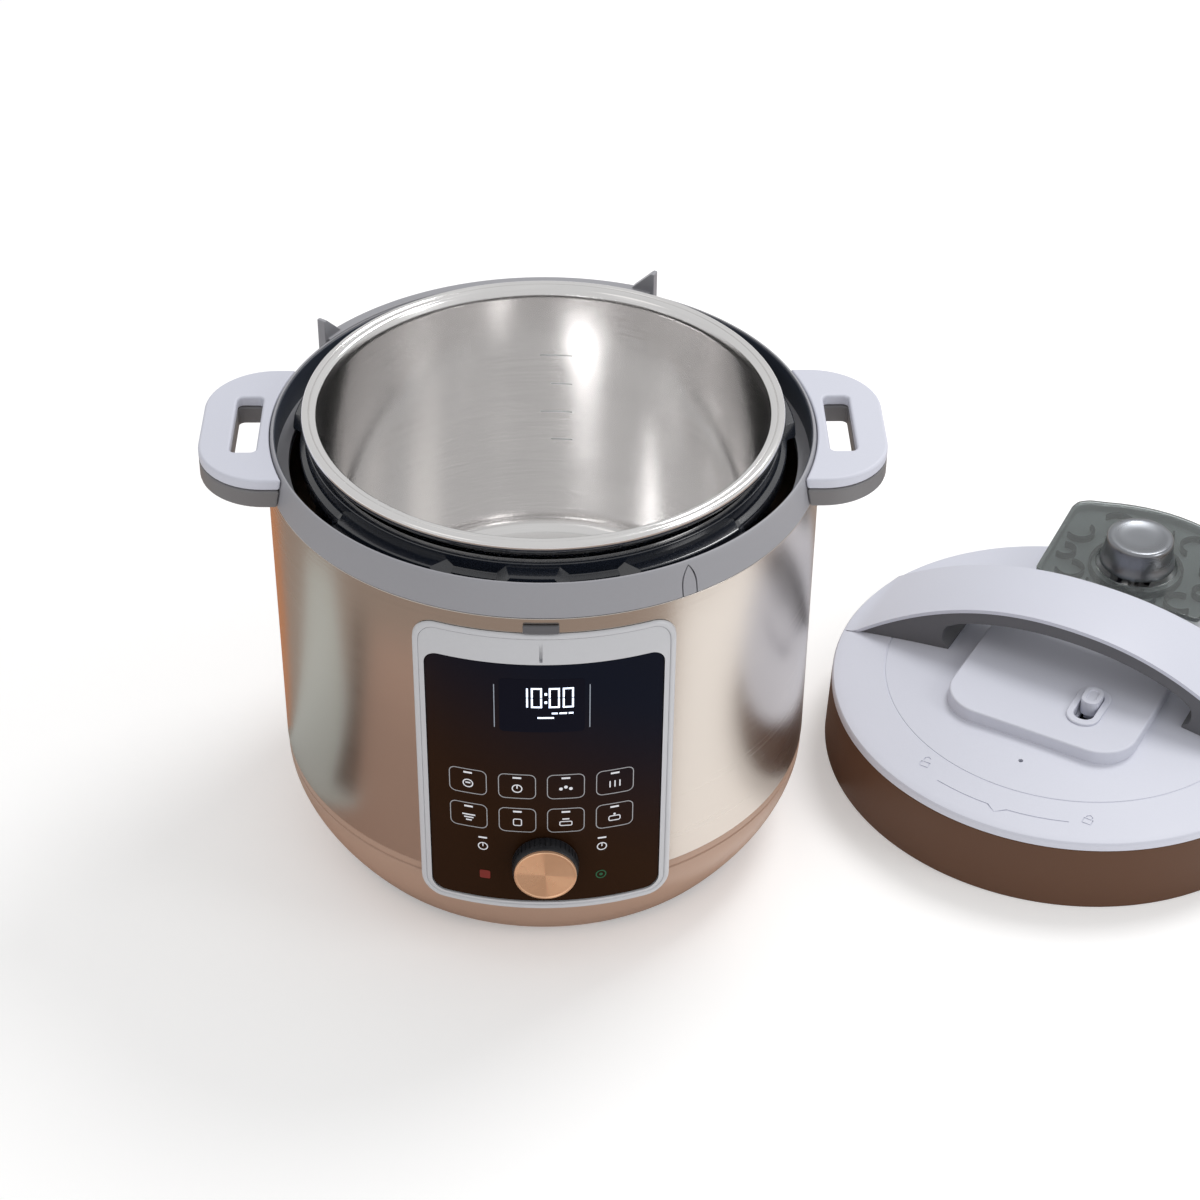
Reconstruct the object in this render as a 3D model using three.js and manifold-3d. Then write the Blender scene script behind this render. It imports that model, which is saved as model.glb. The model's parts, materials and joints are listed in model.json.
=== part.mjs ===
// Electric pressure cooker of the six-litre class: a round base with its inner pot in place,
// and its bayonet lid lying on the table to the right. Millimetres, +Z up. The origin is the
// centre of the underside of the base's bottom plate; the feet reach down to the table.
import * as THREE from 'three';
import { mergeVertices } from 'three/addons/utils/BufferGeometryUtils.js';
import Module from 'manifold-3d';

const wasm = await Module();
wasm.setup();

// ---- driving dimensions of the base ----
const GAP = 0.3; // clearance between neighbouring pieces
const SEGMENTS = 36; // facets round the large turned pieces
const FINE = 16; // facets round the small turned pieces
const PANEL_SEGMENTS = 72; // facets round the panel's full circle
const FOOT_HEIGHT = 4;
const TABLE = -FOOT_HEIGHT;
const HOUSING = { r: 138.4, wall: 1.2, bottom: 52.3, top: 217.3 };
const BASE_RING = { rBottom: 117, r: 138, wall: 3, curveTop: 44, top: 52, roundness: 1.6 };
const PLATE = { r: 113.4, thick: 3 };
const COLLAR = { rBottom: 138.6, rTop: 135.1, lipInner: 134, channelFloor: 218.2, top: 235.2 };
const REAR_LEDGE = { r: 140.6, top: 236, from: -124.5, to: -204.8 }; // degrees from the front
const FIN = { top: 247, thick: 5, base: 11, tip: 2, r: 138.5 };
const LOCK_MARK = 29.5; // degrees from the front
const HANDLE = { reach: 170.2, half: 50, corner: 34, top: 234, cap: 6, bottom: 217.9 };
const SLOT = { x: 147.8, width: 13, length: 49, corner: 3 };
const POT = { rOuter: 112.4, wall: 1.2, floor: 88.6, top: 246, rimR: 120.5, rimDepth: 6 };
const OUTER_POT = { r: 115.6, wall: 1.6, bottom: 74, lugR: 126.3, lugBottom: 225, lugTop: 230 };
const FLANGE = { r: 121.5, inner: 114, bottom: 216 };
const LUGS = { count: 5, firstGap: -2, gap: 34, pitch: 72 }; // degrees from the front
const HEATER = { r: 96, bottom: 76.3, top: 88.3, bore: 15 };
const SENSOR = { r: 12, thick: 8, top: 88.3, travel: 2 };
const PANEL = { half: 62, bottom: 37.5, top: 209, r: 142.8, corner: 11 };
const FASCIA = { half: 56.5, bottom: 42, top: 193, r: 141.6, back: 139.2, corner: 7 };
const DIAL = { z: 68.8, r: 16.5, back: 142.2, front: 150.6, capR: 15, capFront: 152.4, shaftR: 3 };
const BOARD_Y = -120.4;
const INLET = { half: 15, bottom: 13, top: 35, front: 104, back: 131 };
const COLLECTOR = { bottom: 112, top: 172, front: 147, rear: 172, half: 26, wall: 2 };

// ---- driving dimensions of the lid, in its own frame: z from the skirt's bottom edge ----
const LID = { x: 290.3, y: 31.7, turn: -30.3 }; // where it lies, and its turn from locked
const SKIRT = { rBottom: 132.6, rTop: 131.2, inner: 129, height: 38.2 };
const COVER = { r: 131, shoulder: 128, shoulderHeight: 43.4, centre: 51, thick: 2.5 };
const DOME = { r: 128.6, wall: 1.2, bottom: 0.9, top: 38.5, flatR: 122 };
const TABS = { inner: 122.6, bottom: 1.5, top: 4.9, width: 26, first: -32 };
const RING = { inner: 113, outer: 125.6, bottom: 26.8, top: 35.8 };
const ARCH = { top: 90, rise: 48, half: 127, power: 2.2, skin: 3.2, depth: 11, post: 73 };
const ARCH_PLAN = { y: 12, half: 22.5, endHalf: 30, r: 129.2 };
const PLATFORM = { half: 54, front: -64, rear: 32, corner: 22, top: 56 };
const SLIDER = { x: 21, front: -29.5, rear: -17.5, width: 9, travel: 9, top: 58 };
const POCKET = { half: 5.5, front: -41.5, rear: -16.5 };
const VALVE = { x: 0, y: 100, stemR: 3.2, knobR: 19, knobBase: 21.5, bottom: 67, top: 82 };
const TRAY = { front: 66, shoulder: 146, rear: 157, halfFront: 49, halfRear: 53, corner: 13, wall: 2.2 };
const TRAY_HEIGHTS = { standR: 124, lip: 53.5, top: 59.5, cover: 62.9 };
const WINDOW = { half: 13, from: 70, to: 112 }; // opening that the lever's tail rises into
const RELIEF = { from: 30, top: 47.2 }; // hollow under the cover above the lever
const LEVER = { bottom: 42.3, top: 44.1, width: 8 };
const FORK = { from: 94, to: 107, inner: 4.4, outer: 8 }; // the lever's end round the valve's stem
const BALL_R = 1.6;
const FLOAT = { x: 70, y: 60, r: 3, bottom: 27, top: 46.4 };
const VENT_HOLE = { y: -82, r: 1.4 };

const paint = {
  plastic: { color: 0xcdced9, roughness: 0.5, metalness: 0 },
  taupe: { color: 0x6a5c50, roughness: 0.55, metalness: 0 },
  warmPlastic: { color: 0xa5877a, roughness: 0.5, metalness: 0 },
  darkGrey: { color: 0x55555a, roughness: 0.6, metalness: 0 },
  black: { color: 0x1c1e24, roughness: 0.45, metalness: 0 },
  glassBrown: { color: 0x2d190f, roughness: 0.1, metalness: 0 },
  bezel: { color: 0xc8c8cd, roughness: 0.35, metalness: 0.4 },
  steel: { color: 0xb4a594, roughness: 0.3, metalness: 1 },
  copper: { color: 0xe6965a, roughness: 0.25, metalness: 1 },
  aluminium: { color: 0xb8babd, roughness: 0.4, metalness: 1 },
  brass: { color: 0xc9a45c, roughness: 0.35, metalness: 1 },
  board: { color: 0x1f5a38, roughness: 0.6, metalness: 0 },
  silicone: { color: 0xe4e4e0, roughness: 0.6, metalness: 0 },
  smoked: { color: 0x58605e, roughness: 0.08, metalness: 0 },
};

// ---- shape helpers ----
const radians = THREE.MathUtils.degToRad;
// A direction in plan, in degrees from the front (-Y), positive towards the right (+X).
const around = (degrees, r) => [r * Math.sin(radians(degrees)), -r * Math.cos(radians(degrees))];

// Merges shared corners, drops empty triangles and turns all faces outwards.
function closed(geometry) {
  const bare = geometry.clone();
  for (const name of ['normal', 'uv']) bare.deleteAttribute(name);
  const merged = mergeVertices(bare, 1e-4);
  const index = merged.index.array;
  const p = merged.attributes.position;
  const corner = (i) => new THREE.Vector3().fromBufferAttribute(p, i);
  const kept = [];
  let volume = 0;
  for (let i = 0; i < index.length; i += 3) {
    const [a, b, c] = [index[i], index[i + 1], index[i + 2]];
    if (a === b || b === c || a === c) continue;
    kept.push(a, b, c);
    volume += corner(a).dot(corner(b).cross(corner(c)));
  }
  if (volume < 0) kept.reverse();
  merged.setIndex(kept);
  return merged;
}

function toSolid(geometry) {
  const { attributes, index } = closed(geometry);
  const vertProperties = new Float32Array(attributes.position.array);
  const triVerts = new Uint32Array(index.array);
  return new wasm.Manifold(new wasm.Mesh({ numProp: 3, vertProperties, triVerts }));
}

function fromSolid(solid) {
  const { vertProperties, triVerts } = solid.getMesh();
  const geometry = new THREE.BufferGeometry();
  geometry.setAttribute('position', new THREE.BufferAttribute(new Float32Array(vertProperties), 3));
  geometry.setIndex(Array.from(triVerts));
  return geometry;
}

const cut = (body, ...tools) =>
  fromSolid(tools.reduce((left, tool) => left.subtract(toSolid(tool)), toSolid(body)));
const join = (body, ...more) =>
  fromSolid(more.reduce((sum, next) => sum.add(toSolid(next)), toSolid(body)));
const common = (a, b) => fromSolid(toSolid(a).intersect(toSolid(b)));

// Turned piece about +Z: [radius, height] pairs, closed on itself when it is off the axis.
function turned(profile, segments = SEGMENTS) {
  const points = profile.map(([r, z]) => new THREE.Vector2(r, z));
  if (profile[0][0] > 0) points.push(points[0].clone());
  return new THREE.LatheGeometry(points, segments).rotateX(Math.PI / 2);
}

const tube = (outer, inner, bottom, top, segments) =>
  turned([[outer, bottom], [outer, top], [inner, top], [inner, bottom]], segments);
const rod = (r, bottom, top, segments = FINE) =>
  turned([[0, bottom], [r, bottom], [r, top], [0, top]], segments);

// Box from its lowest and highest corners.
function block([x0, y0, z0], [x1, y1, z1]) {
  return new THREE.BoxGeometry(x1 - x0, y1 - y0, z1 - z0)
    .translate((x0 + x1) / 2, (y0 + y1) / 2, (z0 + z1) / 2);
}

// Flat outline in plan raised from bottom to top.
function raised(shape, bottom, top, curveSegments = 6) {
  const options = { depth: top - bottom, bevelEnabled: false, curveSegments };
  return new THREE.ExtrudeGeometry(shape, options).translate(0, 0, bottom);
}

// Outline seen from the front, x across and y up, pushed back from yFront to yBack.
function pushedBack(shape, yFront, yBack, curveSegments = 6) {
  const options = { depth: yBack - yFront, bevelEnabled: false, curveSegments };
  return new THREE.ExtrudeGeometry(shape, options).rotateX(Math.PI / 2).translate(0, yBack, 0);
}

// Rounded rectangle between two corners, as a shape or as a hole's path.
function roundedBox(x0, y0, x1, y1, r, Kind = THREE.Shape) {
  const path = new Kind();
  path.absarc(x1 - r, y0 + r, r, -Math.PI / 2, 0);
  path.absarc(x1 - r, y1 - r, r, 0, Math.PI / 2);
  path.absarc(x0 + r, y1 - r, r, Math.PI / 2, Math.PI);
  path.absarc(x0 + r, y0 + r, r, Math.PI, 1.5 * Math.PI);
  path.closePath();
  return path;
}

// Part of a ring in plan between two directions from the front.
function ringPart(inner, outer, from, to, steps = 8) {
  const shape = new THREE.Shape();
  const at = (i, r) => around(from + ((to - from) * i) / steps, r);
  shape.moveTo(...at(0, inner));
  for (let i = 0; i <= steps; i += 1) shape.lineTo(...at(i, outer));
  for (let i = steps; i > 0; i -= 1) shape.lineTo(...at(i, inner));
  shape.closePath();
  return shape;
}

const polygon = (points) => new THREE.Shape(points.map(([x, y]) => new THREE.Vector2(x, y)));

// ---- scene graph ----
const cooker = new THREE.Group();
const base = new THREE.Group();
const lid = new THREE.Group();
lid.position.set(LID.x, LID.y, TABLE);
lid.rotation.z = radians(LID.turn);
cooker.add(base, lid);

function piece(parent, name, geometry, look) {
  const mesh = new THREE.Mesh(closed(geometry), new THREE.MeshStandardMaterial(look));
  mesh.name = name;
  parent.add(mesh);
  return mesh;
}

// ---- base: outer body ----
// Outer radius of the lower ring, curving in towards the table.
const ringRadius = (z) => {
  const { rBottom, r, curveTop, roundness } = BASE_RING;
  return rBottom + (r - rBottom) * (1 - (1 - z / curveTop) ** roundness);
};

function makeBaseRing() {
  const { wall, curveTop, top, r } = BASE_RING;
  const steps = 6;
  const outside = [];
  for (let i = 0; i <= steps; i += 1) {
    const z = 0.6 + ((curveTop - 0.6) * i) / steps;
    outside.push([ringRadius(z), z]);
  }
  const inside = outside.map(([radius, z]) => [radius - wall, z]).reverse();
  const ring = turned([...outside, [r, top], [r - wall, top], ...inside]);
  const { half, bottom, top: inletTop, back } = INLET;
  return cut(ring, block([-half - GAP, 110, bottom - GAP], [half + GAP, back + 20, inletTop + GAP]));
}

function makeHousing() {
  const { r, wall, bottom, top } = HOUSING;
  return cut(tube(r, r - wall, bottom, top), block([-46, -150, 56], [46, -100, 188]));
}

function makeCollar() {
  const { rBottom, rTop, lipInner, channelFloor, top } = COLLAR;
  const under = HOUSING.top + GAP;
  const tuck = HOUSING.r - HOUSING.wall - GAP;
  const inner = 127.4;
  const ring = turned([
    [tuck, under - 4], [tuck, under], [rBottom, under], [rBottom - 0.7, under + 4.4],
    [rTop + 0.6, top - 1.2], [rTop, top], [lipInner, top], [lipInner, channelFloor],
    [inner, channelFloor], [inner, under - 4],
  ]);
  const { r, top: ledgeTop, from, to } = REAR_LEDGE;
  const ledge = raised(ringPart(lipInner + 0.6, r, from, to, 14), under, ledgeTop);
  // Each fin stands upright at its outer end and slopes down towards the middle of the ledge.
  const fins = [[from, 1], [to, -1]].map(([degrees, outer]) => {
    const outline = polygon([
      [outer * FIN.tip, under + 6], [outer * FIN.tip, FIN.top], [0, FIN.top],
      [-outer * FIN.base, ledgeTop], [-outer * FIN.base, under + 6],
    ]);
    return pushedBack(outline, -FIN.thick / 2, FIN.thick / 2)
      .translate(0, -FIN.r, 0)
      .rotateZ(radians(degrees));
  });
  const mark = block([-0.5, -rBottom - 1, under + 4.4], [0.5, -rTop + 0.4, top + 2])
    .rotateZ(radians(LOCK_MARK));
  return cut(join(ring, ledge, ...fins), mark);
}

// Space that the collar takes, with clearance, for trimming the handles against it.
function collarEnvelope() {
  const { rBottom, rTop, top } = COLLAR;
  const under = HOUSING.top;
  return turned([
    [0, under - 6], [rBottom + GAP, under - 6], [rBottom + GAP, under + 0.3],
    [rBottom - 0.7 + GAP, under + 4.7], [rTop + 0.6 + GAP, top - 1.2],
    [rTop + 0.6 + GAP, top + 4], [0, top + 4],
  ]);
}

function handleShell(side, bottom, top) {
  const { reach, half, corner } = HANDLE;
  const shape = new THREE.Shape();
  shape.moveTo(118, -half);
  shape.absarc(reach - corner, -half + corner, corner, -Math.PI / 2, 0);
  shape.absarc(reach - corner, half - corner, corner, 0, Math.PI / 2);
  shape.lineTo(118, half);
  shape.closePath();
  const { x, width, length, corner: r } = SLOT;
  shape.holes.push(roundedBox(x - width / 2, -length / 2, x + width / 2, length / 2, r, THREE.Path));
  const shell = raised(shape, bottom, top, 8);
  if (side < 0) shell.rotateZ(Math.PI);
  return cut(shell, collarEnvelope());
}

piece(base, 'base_ring', makeBaseRing(), paint.warmPlastic);
piece(base, 'outer_housing', makeHousing(), paint.steel);
piece(base, 'upper_collar', makeCollar(), paint.plastic);
for (const [side, name] of [[-1, 'left'], [1, 'right']]) {
  const seam = HANDLE.top - HANDLE.cap;
  piece(base, `${name}_handle_top`, handleShell(side, seam, HANDLE.top), paint.plastic);
  piece(base, `${name}_handle_bottom`, handleShell(side, HANDLE.bottom, seam - GAP), paint.taupe);
}

// ---- base: underside ----
function makeBottomPlate() {
  const vents = [];
  for (let x = -36; x <= 36; x += 12) vents.push(block([x - 2, 20, -1], [x + 2, 60, PLATE.thick + 1]));
  return cut(rod(PLATE.r, 0, PLATE.thick, SEGMENTS), ...vents);
}

const screwPlaces = [45, 135, 225, 315].map((degrees) => around(degrees, 84));
const baseScrew = ([x, y]) => rod(3.4, -2.2, -GAP, 12).translate(x, y, 0);

piece(base, 'bottom_plate', makeBottomPlate(), paint.black);
screwPlaces.forEach((place, i) => piece(base, `base_screw_${i + 1}`, baseScrew(place), paint.aluminium));
for (const [degrees, name] of [[-3, 'front'], [87, 'right'], [177, 'rear'], [267, 'left']]) {
  const pad = ringPart(98, 112.6, degrees - 17, degrees + 17, 6);
  piece(base, `foot_${name}`, raised(pad, TABLE, -GAP), paint.warmPlastic);
}

// ---- base: control panel ----
function makeBezel() {
  const { half, bottom, top, r, corner } = PANEL;
  const inside = HOUSING.r + 0.4;
  const section = [[inside, bottom], [r, bottom], [r, FASCIA.top + 1], [inside + 0.7, top], [inside, top]];
  const band = turned(section, PANEL_SEGMENTS);
  const frame = roundedBox(-half, bottom, half, top, corner);
  const { half: w, bottom: low, top: high, corner: c } = FASCIA;
  frame.holes.push(roundedBox(-w - GAP, low - GAP, w + GAP, high + GAP, c, THREE.Path));
  const mark = block([-1, -r - 1, FASCIA.top + 1], [1, -inside - 1.4, top - 3]);
  return cut(common(band, pushedBack(frame, -150, -110)), mark);
}

function makeFascia() {
  const { half, bottom, top, r, back, corner } = FASCIA;
  const outline = pushedBack(roundedBox(-half, bottom, half, top, corner), -150, -110);
  const sheet = common(tube(r, back, bottom, top, PANEL_SEGMENTS), outline);
  const bore = rod(DIAL.shaftR + 1, 130, 150).rotateX(Math.PI / 2).translate(0, 0, DIAL.z);
  return cut(sheet, bore);
}

// Turned piece whose axis runs forwards through the dial: heights become distances forwards.
const towardsFront = (geometry) => geometry.rotateX(Math.PI / 2).translate(0, 0, DIAL.z);

piece(base, 'control_bezel', makeBezel(), paint.bezel);
piece(base, 'control_fascia', makeFascia(), paint.glassBrown);
piece(base, 'display_module', block([-30, -135, 160], [30, -128.5, 187]), paint.black);
piece(base, 'control_board', block([-46, BOARD_Y - 1.6, 52], [46, BOARD_Y, 190]), paint.board);
const encoderBody = block([-7, -129.4, DIAL.z - 7], [7, BOARD_Y - 1.6 - GAP, DIAL.z + 7]);
piece(base, 'encoder_body', encoderBody, paint.aluminium);

const shaft = new THREE.Group();
base.add(shaft);
piece(shaft, 'encoder_shaft', towardsFront(rod(DIAL.shaftR, 130.2, DIAL.front - 3, FINE)), paint.brass);

// The dial slips over the shaft: a black barrel with a copper face.
function makeDialBody() {
  const solid = turned([[0, DIAL.back], [DIAL.r, DIAL.back], [DIAL.r, DIAL.back + 5],
    [DIAL.capR + 0.6, DIAL.front], [0, DIAL.front]], FINE);
  return cut(solid, rod(DIAL.shaftR + GAP, DIAL.back - 1, DIAL.front - 2.6, FINE));
}

piece(base, 'dial_body', towardsFront(makeDialBody()), paint.black);
const face = [[0, DIAL.front + GAP], [DIAL.capR, DIAL.front + GAP], [DIAL.capR, DIAL.capFront - 0.5],
  [DIAL.capR - 0.6, DIAL.capFront], [0, DIAL.capFront]];
piece(base, 'dial_cap', towardsFront(turned(face, FINE)), paint.copper);

// ---- base: heating pot and what is under it ----
function makeOuterPot() {
  const { r, wall, bottom, lugR, lugBottom, lugTop } = OUTER_POT;
  const body = turned([
    [16, bottom], [r, bottom], [r, FLANGE.bottom], [FLANGE.r, FLANGE.bottom + 3], [FLANGE.r, lugBottom],
    [lugR, lugBottom], [lugR, lugTop - 1], [lugR - 1, lugTop], [FLANGE.inner, lugTop],
    [r - wall, bottom + wall], [16, bottom + wall],
  ]);
  const gaps = [];
  for (let i = 0; i < LUGS.count; i += 1) {
    const middle = LUGS.firstGap + i * LUGS.pitch;
    const plan = ringPart(FLANGE.r, lugR + 8, middle - LUGS.gap / 2, middle + LUGS.gap / 2, 4);
    gaps.push(raised(plan, lugBottom - 0.5, lugTop + 1));
  }
  return cut(body, ...gaps);
}

// Wire wound round +Z between two heights.
function makeSpring(r, wire, bottom, top, turns) {
  const points = [];
  const steps = turns * 8;
  for (let i = 0; i <= steps; i += 1) {
    const angle = (i / steps) * turns * 2 * Math.PI;
    const z = bottom + ((top - bottom) * i) / steps;
    points.push(new THREE.Vector3(r * Math.cos(angle), r * Math.sin(angle), z));
  }
  const section = new THREE.Shape();
  section.absarc(0, 0, wire / 2, 0, 2 * Math.PI);
  const extrudePath = new THREE.CatmullRomCurve3(points);
  const options = { steps, bevelEnabled: false, curveSegments: 2, extrudePath };
  return new THREE.ExtrudeGeometry(section, options);
}

piece(base, 'outer_pot', makeOuterPot(), paint.black);
const heater = [[HEATER.bore, HEATER.bottom], [HEATER.r, HEATER.bottom], [HEATER.r, HEATER.top - 3],
  [HEATER.r - 3, HEATER.top], [HEATER.bore, HEATER.top]];
piece(base, 'heating_plate', turned(heater), paint.aluminium);
piece(base, 'sensor_spring', makeSpring(8, 1.2, 61, SENSOR.top - SENSOR.thick - 1, 4), paint.steel);
piece(base, 'sensor_seat', join(rod(13, 56, 60), tube(13, 11, 60, 73.6, FINE)), paint.aluminium);
const fuse = rod(3, -8, 8, 12).rotateX(Math.PI / 2).translate(60, 0, OUTER_POT.bottom - 3.4);
piece(base, 'thermal_fuse', fuse, paint.silicone);
// The board with a transformer, a relay, a heat sink and a capacitor.
const boardParts = [block([-60, -46, 12], [60, 40, 13.6]), block([-50, -30, 13], [-22, -4, 34]),
  block([-10, -30, 13], [16, 0, 30]), block([26, -34, 13], [50, 10, 26]),
  rod(8, 13, 38, 12).translate(-34, 20, 0)];
piece(base, 'power_board', join(...boardParts), paint.board);
const socket = roundedBox(-11.5, INLET.bottom + 3, 11.5, INLET.top - 3, 3);
const inletBody = block([-INLET.half, INLET.front, INLET.bottom], [INLET.half, INLET.back, INLET.top]);
const socketHole = pushedBack(socket, INLET.front + 8, INLET.back + 1);
piece(base, 'power_inlet', cut(inletBody, socketHole), paint.black);
const pin = (x, z) => block([x - 1, INLET.front + 8 + GAP, z - 2.2], [x + 1, INLET.back - 4, z + 2.2]);
piece(base, 'inlet_pin_live', pin(-7, 22), paint.brass);
piece(base, 'inlet_pin_earth', pin(0, 27), paint.brass);
piece(base, 'inlet_pin_neutral', pin(7, 22), paint.brass);

const sensorProfile = [[0, SENSOR.top - SENSOR.thick], [SENSOR.r, SENSOR.top - SENSOR.thick],
  [SENSOR.r, SENSOR.top - 1], [SENSOR.r - 1, SENSOR.top], [0, SENSOR.top]];
piece(base, 'temperature_sensor', turned(sensorProfile, FINE), paint.aluminium);

// ---- base: inner pot ----
const { rOuter, wall: potWall, floor: potFloor, top: potTop, rimR, rimDepth } = POT;
const curve = 14;
const potProfile = [[0, potFloor], [rOuter - curve, potFloor],
  [rOuter - curve * 0.3, potFloor + curve * 0.3],
  [rOuter, potFloor + curve], [rOuter, potTop - rimDepth], [rimR - 1.5, potTop - rimDepth + 1],
  [rimR, potTop - 3], [rimR - 0.8, potTop - 0.8], [rimR - 3, potTop], [rOuter + 1.6, potTop - 0.6],
  [rOuter - potWall, potTop - 3.4], [rOuter - potWall, potFloor + curve],
  [rOuter - potWall - curve * 0.28, potFloor + potWall + curve * 0.28],
  [rOuter - curve - potWall * 0.3, potFloor + potWall + 0.2], [0, potFloor + potWall + 0.2]];
piece(base, 'inner_pot', turned(potProfile), paint.steel);

// ---- base: condensation collector at the back ----
const { bottom: cupBottom, top: cupTop, front: cupFront, rear: cupRear, half: cupHalf } = COLLECTOR;
const cupWall = COLLECTOR.wall;
const channel = polygon([[-20, 139], [20, 139], [20, 146], [14, 146], [14, 144.2], [17.2, 144.2],
  [17.2, 141], [-17.2, 141], [-17.2, 144.2], [-14, 144.2], [-14, 146], [-20, 146]]);
piece(base, 'collector_bracket', raised(channel, 128, cupTop - 6), paint.plastic);
const cupShell = raised(roundedBox(-cupHalf, cupFront, cupHalf, cupRear, 8), cupBottom, cupTop);
const hollow = roundedBox(-cupHalf + cupWall, cupFront + cupWall, cupHalf - cupWall, cupRear - cupWall, 6);
const cupInside = raised(hollow, cupBottom + cupWall, cupTop + 1);
const cupTongue = join(block([-16.8, 141.4, 128], [16.8, 143.8, cupTop - 6]),
  block([-13.4, 143, 128], [13.4, cupFront + 0.5, cupTop - 6]));
piece(base, 'condensation_collector', cut(join(cupShell, cupTongue), cupInside), paint.smoked);

// ---- lid: shells ----
// Height of the outside of the lid's cover at a distance from its centre, inside its shoulder.
const coverHeight = (r) => COVER.centre - (COVER.centre - COVER.shoulderHeight) * (r / COVER.shoulder) ** 2;
const coverEdge = SKIRT.height + GAP;
// Points of the cover's outside from its lower edge, over the shoulder, to the centre.
const coverOutside = (lift) => [[COVER.r + lift, coverEdge], [COVER.r - 0.4 + lift, coverEdge + 2.6],
  ...[1, 0.85, 0.65, 0.4, 0].map((share) => share * COVER.shoulder)
    .map((r) => [r, coverHeight(r) + lift])];
// Everything below the cover's top surface lifted by a clearance, for trimming what stands on it.
const coverEnvelope = () => turned([[0, -5], [SKIRT.rBottom + GAP, -5], [SKIRT.rBottom + GAP, 0],
  ...coverOutside(GAP)]);

const valveBore = (r, bottom, top) => rod(r, bottom, top).translate(VALVE.x, VALVE.y, 0);
const floatBore = (r, bottom, top) => rod(r, bottom, top, FINE).translate(FLOAT.x, FLOAT.y, 0);

function makeLidCover() {
  const inside = [0, 0.5, 0.8, 0.98].map((share) => share * COVER.shoulder)
    .map((r) => [r, coverHeight(r) - COVER.thick]);
  const shell = turned([...inside, [SKIRT.inner, coverEdge], ...coverOutside(0)]);
  const window = block([-WINDOW.half, WINDOW.from, 35], [WINDOW.half, WINDOW.to, 60]);
  const relief = block([-WINDOW.half, RELIEF.from, 35], [WINDOW.half, WINDOW.from + 1, RELIEF.top]);
  const pocket = block([SLIDER.x - 4, POCKET.front, 35], [SLIDER.x + 4, POCKET.rear, 60]);
  const hole = rod(VENT_HOLE.r, 35, 60, 12).translate(0, VENT_HOLE.y, 0);
  return cut(shell, window, relief, pocket, hole, floatBore(FLOAT.r + 0.8, 35, 60));
}

function makeDome() {
  const { r, wall, bottom, top, flatR } = DOME;
  const shell = turned([[0, top], [flatR, top], [r, top - 3.4], [r, bottom], [r - wall, bottom],
    [r - wall, top - 4.2], [flatR - 0.5, top - wall], [0, top - wall]]);
  const tabs = [];
  for (let i = 0; i < LUGS.count; i += 1) {
    const middle = TABS.first + i * LUGS.pitch;
    const plan = ringPart(TABS.inner, r - wall / 2, middle - TABS.width / 2, middle + TABS.width / 2, 4);
    tabs.push(raised(plan, TABS.bottom, TABS.top));
  }
  return cut(join(shell, ...tabs), valveBore(VALVE.stemR + 0.8, 30, 45), floatBore(FLOAT.r + 0.8, 30, 45));
}

const skirt = [[SKIRT.rBottom, 0], [SKIRT.rTop, SKIRT.height], [SKIRT.inner, SKIRT.height],
  [SKIRT.inner, 0]];
piece(lid, 'lid_skirt', turned(skirt), paint.taupe);
piece(lid, 'lid_cover', makeLidCover(), paint.plastic);
piece(lid, 'lid_dome', makeDome(), paint.steel);

// ---- lid: handle and platform ----
const archHeight = (x) => ARCH.top - ARCH.rise * (Math.abs(x) / ARCH.half) ** ARCH.power;

// Side view of a layer of the arch: from its outer line down to a line, or to the lid's cover.
function archLayer(lift, drop, posts) {
  const steps = 20;
  const xs = Array.from({ length: steps + 1 }, (_, i) => -ARCH.half + (2 * ARCH.half * i) / steps);
  const under = posts
    ? [[ARCH.half, 30], [ARCH.post, 30], ...xs.filter((x) => Math.abs(x) < ARCH.post)
      .map((x) => [x, archHeight(x) - drop]).reverse(), [-ARCH.post, 30], [-ARCH.half, 30]]
    : xs.map((x) => [x, archHeight(x) - drop]).reverse();
  const side = polygon([...xs.map((x) => [x, archHeight(x) - lift]), ...under]);
  const { y, half, endHalf, r } = ARCH_PLAN;
  const plan = new THREE.Shape();
  plan.moveTo(-r, y - endHalf);
  plan.quadraticCurveTo(0, y - 2 * half + endHalf, r, y - endHalf);
  plan.lineTo(r, y + endHalf);
  plan.quadraticCurveTo(0, y + 2 * half - endHalf, -r, y + endHalf);
  plan.closePath();
  const strip = common(pushedBack(side, y - endHalf - 1, y + endHalf + 1), raised(plan, 30, 100, 8));
  return cut(common(strip, rod(r, 20, 110, SEGMENTS)), coverEnvelope());
}

piece(lid, 'lid_handle', archLayer(0, ARCH.skin, false), paint.plastic);
piece(lid, 'lid_handle_underside', archLayer(ARCH.skin + GAP, ARCH.depth, true), paint.darkGrey);

function makePlatform() {
  const { half, front, rear, corner, top } = PLATFORM;
  const slab = raised(roundedBox(-half, front, half, rear, corner), 44, top);
  const { x } = SLIDER;
  const pocket = roundedBox(x - POCKET.half, POCKET.front, x + POCKET.half, POCKET.rear, 5);
  return cut(slab, coverEnvelope(), raised(pocket, 40, top + 2));
}

piece(lid, 'lid_platform', makePlatform(), paint.plastic);

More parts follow.
